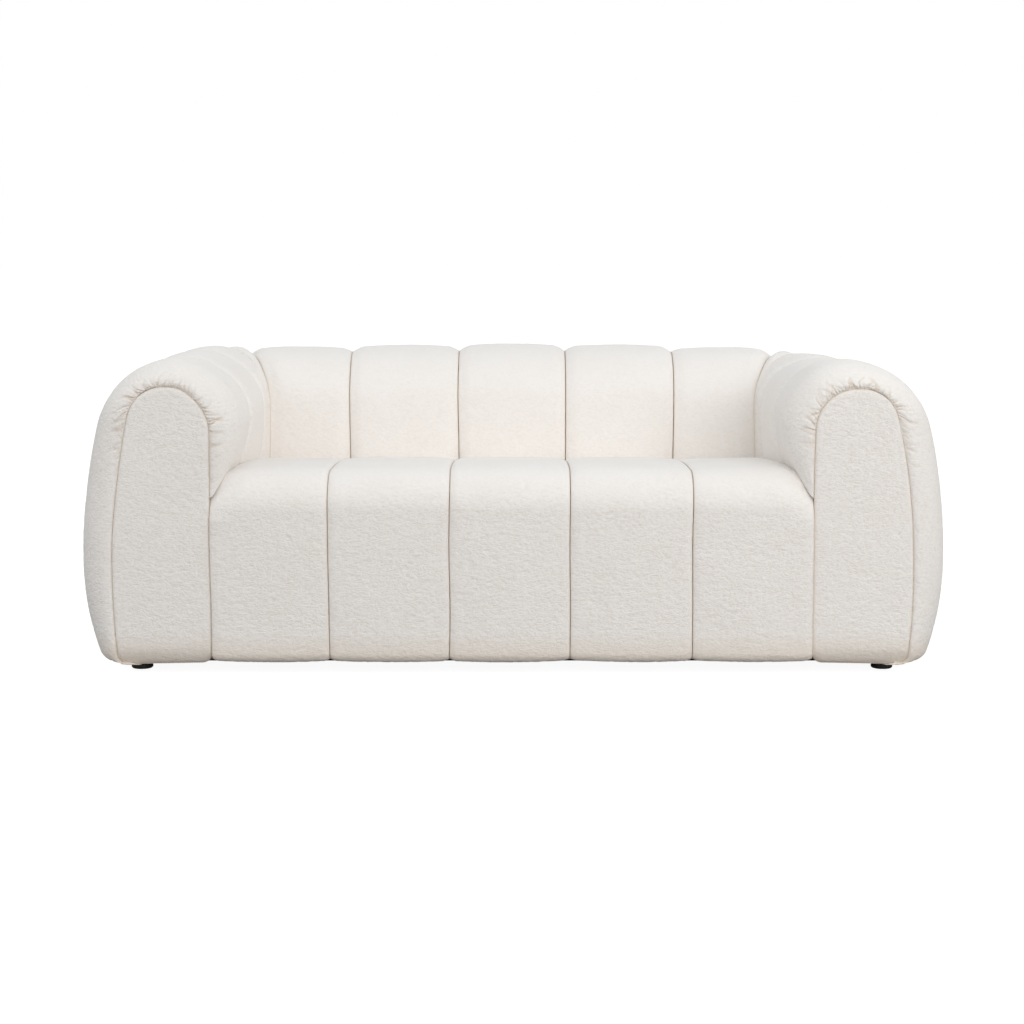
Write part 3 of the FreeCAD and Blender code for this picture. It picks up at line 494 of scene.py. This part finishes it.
def new_material(name):
    """A material, its node tree and its shader."""
    material = bpy.data.materials.new(name)
    material.use_nodes = True
    tree = material.node_tree
    shader = tree.nodes["Principled BSDF"]
    return material, tree, shader


def node(tree, kind, inputs=None, **settings):
    """A shader node whose inputs are values or other nodes' sockets."""
    item = tree.nodes.new(kind)
    for key, value in settings.items():
        setattr(item, key, value)
    for key, value in (inputs or {}).items():
        if isinstance(value, bpy.types.NodeSocket):
            tree.links.new(value, item.inputs[key])
        else:
            item.inputs[key].default_value = value
    return item


def math_node(tree, operation, first, second):
    return node(tree, "ShaderNodeMath", {0: first, 1: second}, operation=operation).outputs[0]


def mixed(tree, factor, first, second, blend="MIX"):
    """Two colours mixed."""
    return node(tree, "ShaderNodeMix", {0: factor, 6: first, 7: second}, data_type="RGBA",
                blend_type=blend).outputs[2]


def object_points(tree, scale=(1, 1, 1)):
    """Places on the piece, in its own frame."""
    place = node(tree, "ShaderNodeTexCoord").outputs["Object"]
    return node(tree, "ShaderNodeMapping", {"Vector": place, "Scale": scale}).outputs[0]


def speckle(tree, vector, scale, detail=2.0, rough=0.5):
    """Noise between 0 and 1."""
    return node(tree, "ShaderNodeTexNoise", {"Vector": vector, "Scale": scale, "Detail": detail,
                                             "Roughness": rough}).outputs["Fac"]


def ramp(tree, value, low_end, high_end):
    """The value stretched so that low_end gives 0 and high_end gives 1."""
    return node(tree, "ShaderNodeMapRange", {"Value": value, "From Min": low_end,
                                             "From Max": high_end}).outputs[0]


def loop_relief(tree, points):
    """Height of the yarn's small loops, from cells, worms and fuzz."""
    wander = node(tree, "ShaderNodeTexNoise", {"Vector": points, "Scale": 130.0, "Detail": 1.0})
    shift = node(tree, "ShaderNodeVectorMath", {0: wander.outputs["Color"], 1: (0.5, 0.5, 0.5)},
                 operation="SUBTRACT").outputs[0]
    shift = node(tree, "ShaderNodeVectorMath", {0: shift, "Scale": 0.007},
                 operation="SCALE").outputs[0]
    warped = node(tree, "ShaderNodeVectorMath", {0: points, 1: shift}).outputs[0]
    cells = node(tree, "ShaderNodeTexVoronoi", {"Vector": warped, "Scale": 235.0,
                                                "Smoothness": 0.5},
                 feature="SMOOTH_F1").outputs["Distance"]
    cells = ramp(tree, cells, 0.75, 0.1)
    worms = speckle(tree, warped, 150.0, 1.0)
    worms = math_node(tree, "ABSOLUTE", math_node(tree, "SUBTRACT", worms, 0.5), 0.0)
    worms = ramp(tree, worms, 0.14, 0.0)
    fuzz = speckle(tree, points, 900.0, 2.0)
    height = math_node(tree, "ADD", math_node(tree, "MULTIPLY", cells, 0.5),
                       math_node(tree, "MULTIPLY", worms, 0.65))
    return math_node(tree, "ADD", height, math_node(tree, "MULTIPLY", fuzz, 0.22))


def boucle_material():
    """Off-white boucle, browner in its seams, with painted shade in the hollows between its
    loops, in the creases of its gathers and along its lower edge.
    """
    material, tree, shader = new_material("boucle")
    height = loop_relief(tree, object_points(tree, (0.62, 0.8, 1.35)))
    nap = node(tree, "ShaderNodeAttribute", attribute_name="nap").outputs["Fac"]
    bump = node(tree, "ShaderNodeBump", {"Strength": math_node(tree, "MULTIPLY", nap, 0.34),
                                         "Distance": 0.0024, "Height": height})
    tree.links.new(bump.outputs[0], shader.inputs["Normal"])

    seam = node(tree, "ShaderNodeAttribute", attribute_name="seam").outputs["Fac"]
    patchy = speckle(tree, object_points(tree), 9.0, 3.0)
    pale, warm = (0.910, 0.880, 0.853, 1), (0.898, 0.862, 0.826, 1)
    colour = mixed(tree, ramp(tree, patchy, 0.3, 0.75), pale, warm)
    # Painted shade: the cloth darkens in the hollows between its loops, scaled by the same
    # attribute as the bump.
    shade = ramp(tree, height, 0.15, 0.75)
    shade = math_node(tree, "MULTIPLY", math_node(tree, "SUBTRACT", 1.0, shade), nap)
    hollow_shade = mixed(tree, 1.0, colour, (0.93, 0.915, 0.895, 1), "MULTIPLY")
    colour = mixed(tree, shade, colour, hollow_shade)
    # Painted shade in the gathers' folds.
    crease_shade = node(tree, "ShaderNodeAttribute", attribute_name="crease_shade").outputs["Fac"]
    colour = mixed(tree, math_node(tree, "MULTIPLY", crease_shade, 0.68), colour,
                   (0.70, 0.59, 0.49, 1))
    colour = mixed(tree, math_node(tree, "MULTIPLY", seam, 0.55), colour,
                   (0.74, 0.64, 0.53, 1))
    # Painted shade: the cloth browns towards its lower edge, from 0.10 m down to 0.035 m above
    # the floor.
    rise = node(tree, "ShaderNodeSeparateXYZ", {0: object_points(tree)}).outputs[2]
    colour = mixed(tree, math_node(tree, "MULTIPLY", ramp(tree, rise, 0.10, 0.035), 0.55), colour,
                   (0.74, 0.63, 0.51, 1))
    tree.links.new(colour, shader.inputs["Base Color"])
    shader.inputs["Roughness"].default_value = 0.95
    shader.inputs["Specular IOR Level"].default_value = 0.15
    shader.inputs["Sheen Weight"].default_value = 0.25
    shader.inputs["Sheen Roughness"].default_value = 0.6
    shader.inputs["Sheen Tint"].default_value = (1.0, 0.98, 0.95, 1)
    return material


def grain_material(name, pale, dark, along=0, fine=60.0):
    """Wood whose grain runs along one axis."""
    material, tree, shader = new_material(name)
    scale = [1.0, 1.0, 1.0]
    scale[along] = 0.06
    points = object_points(tree, scale)
    bands = speckle(tree, points, fine, 4.0, 0.6)
    fibre = speckle(tree, points, fine * 14, 2.0)
    colour = mixed(tree, ramp(tree, bands, 0.35, 0.7), pale, dark)
    colour = mixed(tree, math_node(tree, "MULTIPLY", fibre, 0.3), colour, dark)
    tree.links.new(colour, shader.inputs["Base Color"])
    tree.links.new(ramp(tree, bands, -0.8, 1.6), shader.inputs["Roughness"])
    bump = node(tree, "ShaderNodeBump", {"Strength": 0.25, "Distance": 0.0006, "Height": fibre})
    tree.links.new(bump.outputs[0], shader.inputs["Normal"])
    return material


def flecked_material(name, first, second, scale, rough, depth=0.0006, metallic=0.0):
    """Foam, felt, board, cast or drawn surfaces: two shades in fine flecks, with relief."""
    material, tree, shader = new_material(name)
    points = object_points(tree)
    flecks = speckle(tree, points, scale, 3.0, 0.6)
    clouds = speckle(tree, points, scale / 20, 2.0)
    colour = mixed(tree, ramp(tree, flecks, 0.35, 0.65), first, second)
    tree.links.new(mixed(tree, math_node(tree, "MULTIPLY", clouds, 0.3), colour, second),
                   shader.inputs["Base Color"])
    tree.links.new(ramp(tree, flecks, 0.5 - 2 * rough, 1.5 - 0.5 * rough),
                   shader.inputs["Roughness"])
    shader.inputs["Metallic"].default_value = metallic
    bump = node(tree, "ShaderNodeBump", {"Strength": 0.4, "Distance": depth, "Height": flecks})
    tree.links.new(bump.outputs[0], shader.inputs["Normal"])
    return material


boucle_cloth = boucle_material()
thread = flecked_material("seam_thread", (0.60, 0.51, 0.41, 1), (0.72, 0.63, 0.52, 1), 700.0,
                          0.9)
SLOTS = {
    "timber": grain_material("timber", (0.72, 0.55, 0.35, 1), (0.50, 0.33, 0.18, 1)),
    "plywood": grain_material("plywood", (0.70, 0.55, 0.38, 1), (0.48, 0.34, 0.20, 1),
                              along=2, fine=45.0),
    "fibreboard": flecked_material("fibreboard", (0.48, 0.35, 0.22, 1), (0.33, 0.22, 0.13, 1),
                                   420.0, 0.8),
    "foam": flecked_material("foam", (0.85, 0.82, 0.68, 1), (0.72, 0.68, 0.52, 1), 900.0, 0.95),
    "felt": flecked_material("felt", (0.36, 0.35, 0.34, 1), (0.20, 0.20, 0.21, 1), 500.0, 0.95),
    "dust_cloth": flecked_material("dust_cloth", (0.045, 0.045, 0.047, 1),
                                   (0.02, 0.02, 0.02, 1), 650.0, 0.9),
    "spring_steel": flecked_material("spring_steel", (0.38, 0.38, 0.40, 1),
                                     (0.22, 0.22, 0.24, 1), 350.0, 0.4, 0.0002, 1.0),
    "zinc_steel": flecked_material("zinc_steel", (0.68, 0.69, 0.71, 1), (0.50, 0.52, 0.55, 1),
                                   240.0, 0.4, 0.0002, 1.0),
    "foot_plastic": flecked_material("foot_plastic", (0.012, 0.012, 0.012, 1),
                                     (0.022, 0.021, 0.020, 1), 800.0, 0.45, 0.0002),
}
for part in frame["record"]["subparts"]:
    material = SLOTS.get(part["material_slot"])
    if material:
        for slot in frame["nodes"][part["node"]].material_slots:
            slot.material = material


# The seat

def seat_path(counts):
    """Points and normals of the seat's surface, from under its front edge to its rear."""
    front = EDGE_Y - EDGE_R
    hem = (front + SEAT_HEM, SEAT_FOOT + SEAT_HEM)
    centre = (EDGE_Y, SEAT_TOP - EDGE_R)
    long_end = math.degrees(math.acos((SEAT_REAR - EDGE_Y) / SEAT_R))
    return joined([
        line((hem[0] + UNDER, SEAT_FOOT), (hem[0], SEAT_FOOT), (0, -1), counts[0]),
        arc(hem, SEAT_HEM, 270, 180, counts[1]),
        line((front, hem[1]), (front, centre[1]), (-1, 0), counts[2]),
        arc(centre, EDGE_R, 180, 90, counts[3]),
        arc((EDGE_Y, SEAT_TOP - SEAT_R), SEAT_R, 90, long_end, counts[4]),
    ])


def seat_core(count):
    """Points under the seat's pad."""
    pad = 0.058
    front, top = EDGE_Y - EDGE_R + pad, SEAT_TOP - pad
    route = np.array([(front, SEAT_FOOT + 2 * MM), (front, top - 0.03),
                      (front + 0.012, top - 0.009), (front + 0.035, top),
                      (SEAT_REAR - 0.02, top - SEAT_DROP - 0.005)])
    return resampled(route, count)


def seat_channel(index):
    """A channel of the seat, over its front edge and down to its hem."""
    left, right = SEAT_SEAMS[index], SEAT_SEAMS[index + 1]
    width = right - left
    share = shares(width)
    counts = path_counts((UNDER, 1.6 * SEAT_HEM, 0.33, 0.15, 0.585), STEP * 1.1)
    counts[1] = max(counts[1], 8)
    points, normals = seat_path(counts)
    core = seat_core(len(points))
    xs = left + share * width

    def placed(path, x):
        return np.stack([np.full(len(path), x), path[:, 0], path[:, 1]], 1)

    base = np.array([placed(points, x) for x in xs])
    normals = np.array([placed(normals, 0.0)] * len(xs))
    inner = np.array([placed(core, x) for x in (xs[0], xs[-1])])
    on_top = np.clip((points[:, 1] - 0.36) / 0.08, 0, 1)
    beside_arm = seat_shoulder(SEAT_HALF - np.abs(xs))[:, None] * on_top
    replaced = "seat_channel_%d" % (index + 1)
    item = finish_channel(replaced + "_cover", base, normals, inner, SEAT_FORM, False,
                          beside_arm)
    declared(item, replaced)


for index in range(len(SEAT_SEAMS) - 1):
    seat_channel(index)


# Arms, corners and back

def curl(z):
    """How far the front turns under at its lower edge."""
    return 0.014 * np.clip(1 - (z - ARM["foot"]) / 0.045, 0, 1) ** 2.2


def front_station(share):
    """The first channel of an arm, which rounds over into the facing's seam."""
    along = share * FRONT_WIDTH
    if along < ROLL_LENGTH:
        angle = math.radians(90 * along / ROLL_LENGTH)
        y = FRONT + (1 - math.cos(angle)) * ROLL
        rise = math.sin(angle)
    else:
        y, rise = FRONT + ROLL + (along - ROLL_LENGTH), 1.0
    y = min(y, FRONT + ARM_SEAMS[0])
    shape = arm_station(y)[0]
    shape["leg"] -= 0.008 * math.exp(-along / 0.06)
    narrow = dict(shape, **FACING)
    forward = along / 0.022
    swell = 0.0045 * forward * math.exp(1 - forward)
    sunk = SINK * math.exp(-along / 0.0035)

    def place_point(r, z):
        above = smooth(z - shape["leg"], 0, 0.10)
        hold = np.where((r < 0.12) & (z < 0.62), above, 1.0)
        curled = curl(z) * math.exp(-along / 0.05)
        return np.stack([PIVOT[0] + r, y - swell * hold + sunk + curled, z], 1)

    return blended(narrow, shape, rise), place_point


def gather(seed):
    """The creases that the facing's seam draws into the roll round its top."""
    draw = np.random.default_rng(seed)

    def extra(edge, base):
        first = base[0]
        length = run_length(base[:1], 1)[0]
        top = length[np.argmax(first[:, 2])]
        start, end = top - 0.30, top + 0.26
        total = np.zeros(base.shape[:2])
        e = edge[:, None]
        at = start
        while at < end:
            share = (at - start) / (end - start)
            strength = min(1, share / 0.22, (1 - share) / 0.22)
            deep = draw.uniform(1.2, 3.6) * (0.3 + 0.7 * strength)
            back = draw.uniform(0.016, 0.034) + draw.uniform(0, 0.036) * strength
            slant, wide = draw.uniform(-0.4, 0.4), draw.uniform(1.3, 2.1)
            middle = at + slant * e + 0.002 * np.sin(e / 0.009 + 7 * at / 0.1)
            offset = (length[None, :] - middle) / (wide * MM * (1 + e / 0.05))
            fade = np.clip(1 - e / back, 0, 1) ** 0.8
            total += deep * MM * np.exp(-offset ** 2) * fade
            at += draw.uniform(0.0046, 0.0092)
        return total * np.clip(e / 0.0025, 0, 1)

    return extra


second_seam, third_seam = FRONT + ARM_SEAMS[0], FRONT + ARM_SEAMS[1]
straight, sweep = PIVOT[1] - third_seam, ARM_TURN * math.radians(MITRE)
run, turn = PIVOT[0] - BACK_SEAMS[-1], BACK_TURN * math.radians(90 - WEDGE)


def second_station(share):
    """The middle channel of an arm."""
    return arm_station(second_seam + share * (third_seam - second_seam))


def third_station(share):
    """The rear channel of an arm, which turns into the corner as far as its mitre."""
    along = share * (straight + sweep)
    if along < straight:
        return arm_station(third_seam + along)
    return corner_station((along - straight) / sweep * MITRE)


def wedge_station(share):
    """The narrow channel in the corner."""
    return corner_station(MITRE + share * (WEDGE - MITRE))


def outer_back_station(share):
    """The outermost channel of the back, which turns into the corner."""
    along = share * (run + turn)
    if along < run:
        return back_station(BACK_SEAMS[-1] + along)
    return corner_station(90 - (along - run) / turn * (90 - WEDGE))


# The order of the covers counts, since each one's puckers are seeded by its place in it.
for side, mirror in (("right", False), ("left", True)):
    arm = "arm_channel_%s_" % side
    for replaced, station_at, width, changes in (
            (arm + "1", front_station, FRONT_WIDTH, dict(gathers=gather(40 + mirror))),
            (arm + "2", second_station, third_seam - second_seam, {}),
            (arm + "3", third_station, straight + sweep,
             dict(seams=(FALL, MITRE_FALL), corners=(False, True), quiet=1)),
            ("corner_channel_" + side, wedge_station,
             ARM_TURN * math.radians(WEDGE - MITRE),
             dict(seams=(MITRE_FALL, WEDGE_FALL), spread=0.026, crown=0.004,
                  corners=(True, True), quiet=0, nap=FAR_RELIEF_AND_SHADE)),
            ("back_channel_%d" % (1 if mirror else 5), outer_back_station, run + turn,
             dict(seams=(FALL, WEDGE_FALL), corners=(False, True), nap=FAR_RELIEF_AND_SHADE))):
        item = roll_channel(replaced + "_cover", station_at, width, mirror, **changes)
        declared(item, replaced)

for index in range(len(BACK_SEAMS) - 1):
    left, right = BACK_SEAMS[index], BACK_SEAMS[index + 1]
    replaced = "back_channel_%d" % (index + 2)
    item = roll_channel(replaced + "_cover",
                        lambda share: back_station(left + share * (right - left)),
                        right - left, nap=FAR_RELIEF_AND_SHADE)
    declared(item, replaced)


# Facings

def facing(side, mirror):
    """A flat padded panel inside its seam, from rings that close in on an upright line."""
    shape = dict(ARM, **FACING)
    shape["leg"] = shape["foot"] + HEM
    counts = path_counts((0.5, 0.15, 0.01, 0.30, 0.27, 0.27, 1.3 * HEM, UNDER), STEP)
    outline, _ = roll_path(shape, counts)
    outline = outline[:-(counts[7] - 1)]
    floor_count = int(0.2 / STEP)
    bottom = line(outline[-1], (shape["inner"] + HEM, shape["foot"]), (0, 0), floor_count)[0][1:]
    corner = arc((shape["inner"] + HEM, shape["foot"] + HEM), HEM, 270, 180, 7)[0][1:-1]
    outline = np.concatenate([outline, bottom, corner])
    columns = len(outline)
    middle = (shape["inner"] + shape["outer"]) / 2
    spine = np.stack([np.full(columns, middle), np.clip(outline[:, 1], 0.14, 0.54)], 1)
    near = np.array([0, 0.5, 1.1, 1.9, 3.0, 4.6, 6.6, 9.0]) * MM
    half = shape["outer"] - middle
    count = int((half - near[-1]) / STEP)
    distances = np.concatenate([near, near[-1] + (half - near[-1]) * np.arange(1, count) / count])
    tips, at = np.unique(np.round(spine, 6), axis=0, return_inverse=True)
    flat = np.concatenate([outline + (spine - outline) * (d / half) for d in distances] + [tips])
    edges = np.concatenate([np.repeat(distances, columns), np.full(len(tips), half)])
    rise = -SINK + (SINK + 0.002) * (1 - np.exp(-edges / 0.003))
    rise += 0.002 * np.sin(math.pi / 2 * edges / half)
    points = np.stack([PIVOT[0] + flat[:, 0], FRONT - rise + curl(flat[:, 1]), flat[:, 1]], 1)
    calm = 1 - np.exp(-edges / CALM)
    bump = loops(points, calm) + 1.3 * MM * handmade(points) * calm
    points[:, 1] -= bump - 0.5 * MM
    line_at = points[:columns] - (0, 0.7 * MM, 0)
    behind = np.stack([points[:columns, 0], np.full(columns, FRONT + 0.026), outline[:, 1]], 1)
    rows = len(distances)
    vertices = np.concatenate([points, behind])
    index = np.arange(rows * columns).reshape(rows, columns)
    tip_index = (rows * columns + at.ravel()).tolist()
    back_index = rows * columns + len(tips) + np.arange(columns)
    faces = []
    for i in range(rows - 1):
        a, b = index[i], index[i + 1]
        faces += np.stack([a, np.roll(a, -1), np.roll(b, -1), b], 1).tolist()
    for j in range(columns):
        k = (j + 1) % columns
        ring = [int(index[-1, j]), int(index[-1, k]), tip_index[k], tip_index[j]]
        faces.append(ring if ring[2] != ring[3] else ring[:3])
        faces.append([int(back_index[j]), int(back_index[k]), int(index[0, k]), int(index[0, j])])
    faces.append(back_index[::-1].tolist())
    seam = np.concatenate([np.exp(-edges / TINT), np.ones(columns)])
    if mirror:
        vertices, line_at = vertices * FLIP, line_at * FLIP
    seam_lines["arm_facing_%s" % side] = [settle(np.concatenate([line_at, line_at[:1]]))]
    item = new_object("arm_facing_%s_cover" % side, settle(vertices), faces, boucle_cloth,
                      {"seam": seam, "crease_shade": np.zeros(len(vertices)),
                       "nap": np.ones(len(vertices))})
    outward(item)
    declared(item, "arm_facing_%s" % side)


facing("right", False)
facing("left", True)


# Stitching

def bead():
    """A stitch, along +X with unit length and radius: rings of a capsule."""
    rings = [(-0.5, 0.45), (-0.34, 1.0), (0.34, 1.0), (0.5, 0.45)]
    sides = 6
    vertices, faces = [], []
    for x, radius in rings:
        for k in range(sides):
            angle = 2 * math.pi * k / sides
            vertices.append((x, radius * math.cos(angle), radius * math.sin(angle)))
    for i in range(len(rings) - 1):
        for k in range(sides):
            a, b = i * sides + k, i * sides + (k + 1) % sides
            faces.append((a, a + sides, b + sides, b))
    faces.append(tuple(range(sides)))
    faces.append(tuple(reversed(range(3 * sides, 4 * sides))))
    return np.array(vertices), faces


def stitching(name, lines, pitch=5.4 * MM, length=3.7 * MM, radius=0.62 * MM):
    """Threads of even stitches along seam lines."""
    template, template_faces = bead()
    places, directions = [], []
    for points in lines:
        along = run_length(points[None], 1)[0]
        at = np.arange(pitch / 2, along[-1], pitch)
        places.append(np.stack([np.interp(at, along, points[:, k]) for k in range(3)], 1))
        ahead = np.stack([np.interp(at + pitch / 3, along, points[:, k]) for k in range(3)], 1)
        behind = np.stack([np.interp(at - pitch / 3, along, points[:, k]) for k in range(3)], 1)
        directions.append(ahead - behind)
    places, directions = np.concatenate(places), np.concatenate(directions)
    directions /= np.linalg.norm(directions, axis=1, keepdims=True)
    guide = np.where(np.abs(directions[:, :1]) < 0.8, [[1.0, 0, 0]], [[0, 1.0, 0]])
    side = np.cross(directions, guide)
    side /= np.linalg.norm(side, axis=1, keepdims=True)
    third_axis = np.cross(directions, side)
    vertices = (places[:, None] + length * template[None, :, :1] * directions[:, None]
                + radius * template[None, :, 1:2] * side[:, None]
                + radius * template[None, :, 2:] * third_axis[:, None]).reshape(-1, 3)
    count = len(template)
    faces = [[v + count * i for v in face] for i in range(len(places)) for face in template_faces]
    item = new_object(name, vertices, faces, thread)
    outward(item)
    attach(item, "root")


def first_lines(kind, indices):
    """The first seam of each of a row of channels."""
    return [seam_lines["%s_%d_cover" % (kind, index)][0] for index in indices]


stitching("seat_stitching", first_lines("seat_channel", (2, 3, 4, 5)))
stitching("back_stitching", first_lines("back_channel", (2, 3, 4, 5)))
BEFORE_CREST = 12              # points before its top at which the mitre's stitches start
for side in ("left", "right"):
    mitre, wedge = seam_lines["corner_channel_%s_cover" % side]
    crest = int(np.argmax(mitre[:, 2])) - BEFORE_CREST
    stitching("arm_stitching_%s" % side,
              first_lines("arm_channel_%s" % side, (2, 3)) + [mitre[crest:], wedge])
    stitching("facing_stitching_%s" % side, seam_lines["arm_facing_%s" % side])


# Floor, light and camera

AMBIENT = 0.80                 # strength of the sky
LENS, DISTANCE, EYE, TILT = 75.13, 5.250, 0.9973, 7.3525


def make_stage():
    """A floor that shows white and keeps the sofa's shadow."""
    mesh = bpy.data.meshes.new("floor")
    far = 60.0
    mesh.from_pydata([(-far, -far, 0), (far, -far, 0), (far, far, 0), (-far, far, 0)], [],
                     [(0, 1, 2, 3)])
    floor = bpy.data.objects.new("floor", mesh)
    bpy.context.scene.collection.objects.link(floor)
    material, tree, shader = new_material("floor_white")
    shader.inputs["Base Color"].default_value = (0.30, 0.30, 0.30, 1)
    shader.inputs["Roughness"].default_value = 0.9
    shader.inputs["Specular IOR Level"].default_value = 0.0
    seen = node(tree, "ShaderNodeLightPath").outputs["Is Camera Ray"]
    glow = node(tree, "ShaderNodeEmission", {"Color": (1, 1, 1, 1),
                                             "Strength": math_node(tree, "MULTIPLY", seen, 0.93)})
    both = node(tree, "ShaderNodeAddShader", {0: shader.outputs[0], 1: glow.outputs[0]})
    tree.links.new(both.outputs[0], tree.nodes["Material Output"].inputs["Surface"])
    mesh.materials.append(material)


def make_world():
    """A soft sky, cooler overhead, and white where it is seen."""
    world = bpy.data.worlds.new("studio")
    world.use_nodes = True
    tree = world.node_tree
    background = tree.nodes["Background"]
    background.inputs["Color"].default_value = (1, 1, 1, 1)
    seen = node(tree, "ShaderNodeLightPath")
    direct = math_node(tree, "MAXIMUM", seen.outputs["Is Camera Ray"],
                       seen.outputs["Is Glossy Ray"])
    strength = math_node(tree, "MULTIPLY_ADD", direct, 1.0 - AMBIENT)
    strength.node.inputs[2].default_value = AMBIENT
    tree.links.new(strength, background.inputs["Strength"])
    aim = node(tree, "ShaderNodeTexCoord").outputs["Generated"]
    height = node(tree, "ShaderNodeSeparateXYZ", {0: aim}).outputs[2]
    sky = mixed(tree, ramp(tree, height, 0.1, 0.7), (1.0, 0.985, 0.96, 1), (0.79, 0.83, 0.865, 1))
    tree.links.new(mixed(tree, direct, sky, (1, 1, 1, 1)), background.inputs["Color"])
    bpy.context.scene.world = world


def area_light(name, place, target, size, power, colour):
    light = bpy.data.lights.new(name, "AREA")
    light.shape = "RECTANGLE"
    light.size, light.size_y = size
    light.energy = power
    light.color = colour
    item = bpy.data.objects.new(name, light)
    item.location = place
    aim = np.array(target, float) - np.array(place, float)
    direction = Vector(aim)
    item.rotation_euler = direction.to_track_quat("-Z", "Y").to_euler()
    bpy.context.scene.collection.objects.link(item)


make_stage()
make_world()
area_light("overhead", (0.2, -2.0, 3.4), (0, 0.1, 0.4), (4.0, 3.0), 2.0,
           (0.85, 0.93, 1.0))
area_light("key", (1.6, -4.9, 2.0), (0, 0, 0.4), (3.5, 2.5), 88.0, (1.0, 0.965, 0.925))
for name, x in (("right side", 3.2), ("left side", -3.2)):
    area_light(name, (x, -1.2, 2.2), (0, 0, 0.4), (2.0, 2.0), 11.0, (1.0, 0.99, 0.97))

camera_data = bpy.data.cameras.new("camera")
camera_data.lens = LENS
camera_data.sensor_width = 36.0
camera = bpy.data.objects.new("camera", camera_data)
camera.location = (0.0, -DISTANCE, EYE)
camera.rotation_euler = (math.radians(90 - TILT), 0.0, 0.0)
bpy.context.scene.collection.objects.link(camera)
bpy.context.scene.camera = camera
bpy.context.scene.view_settings.view_transform = "Standard"
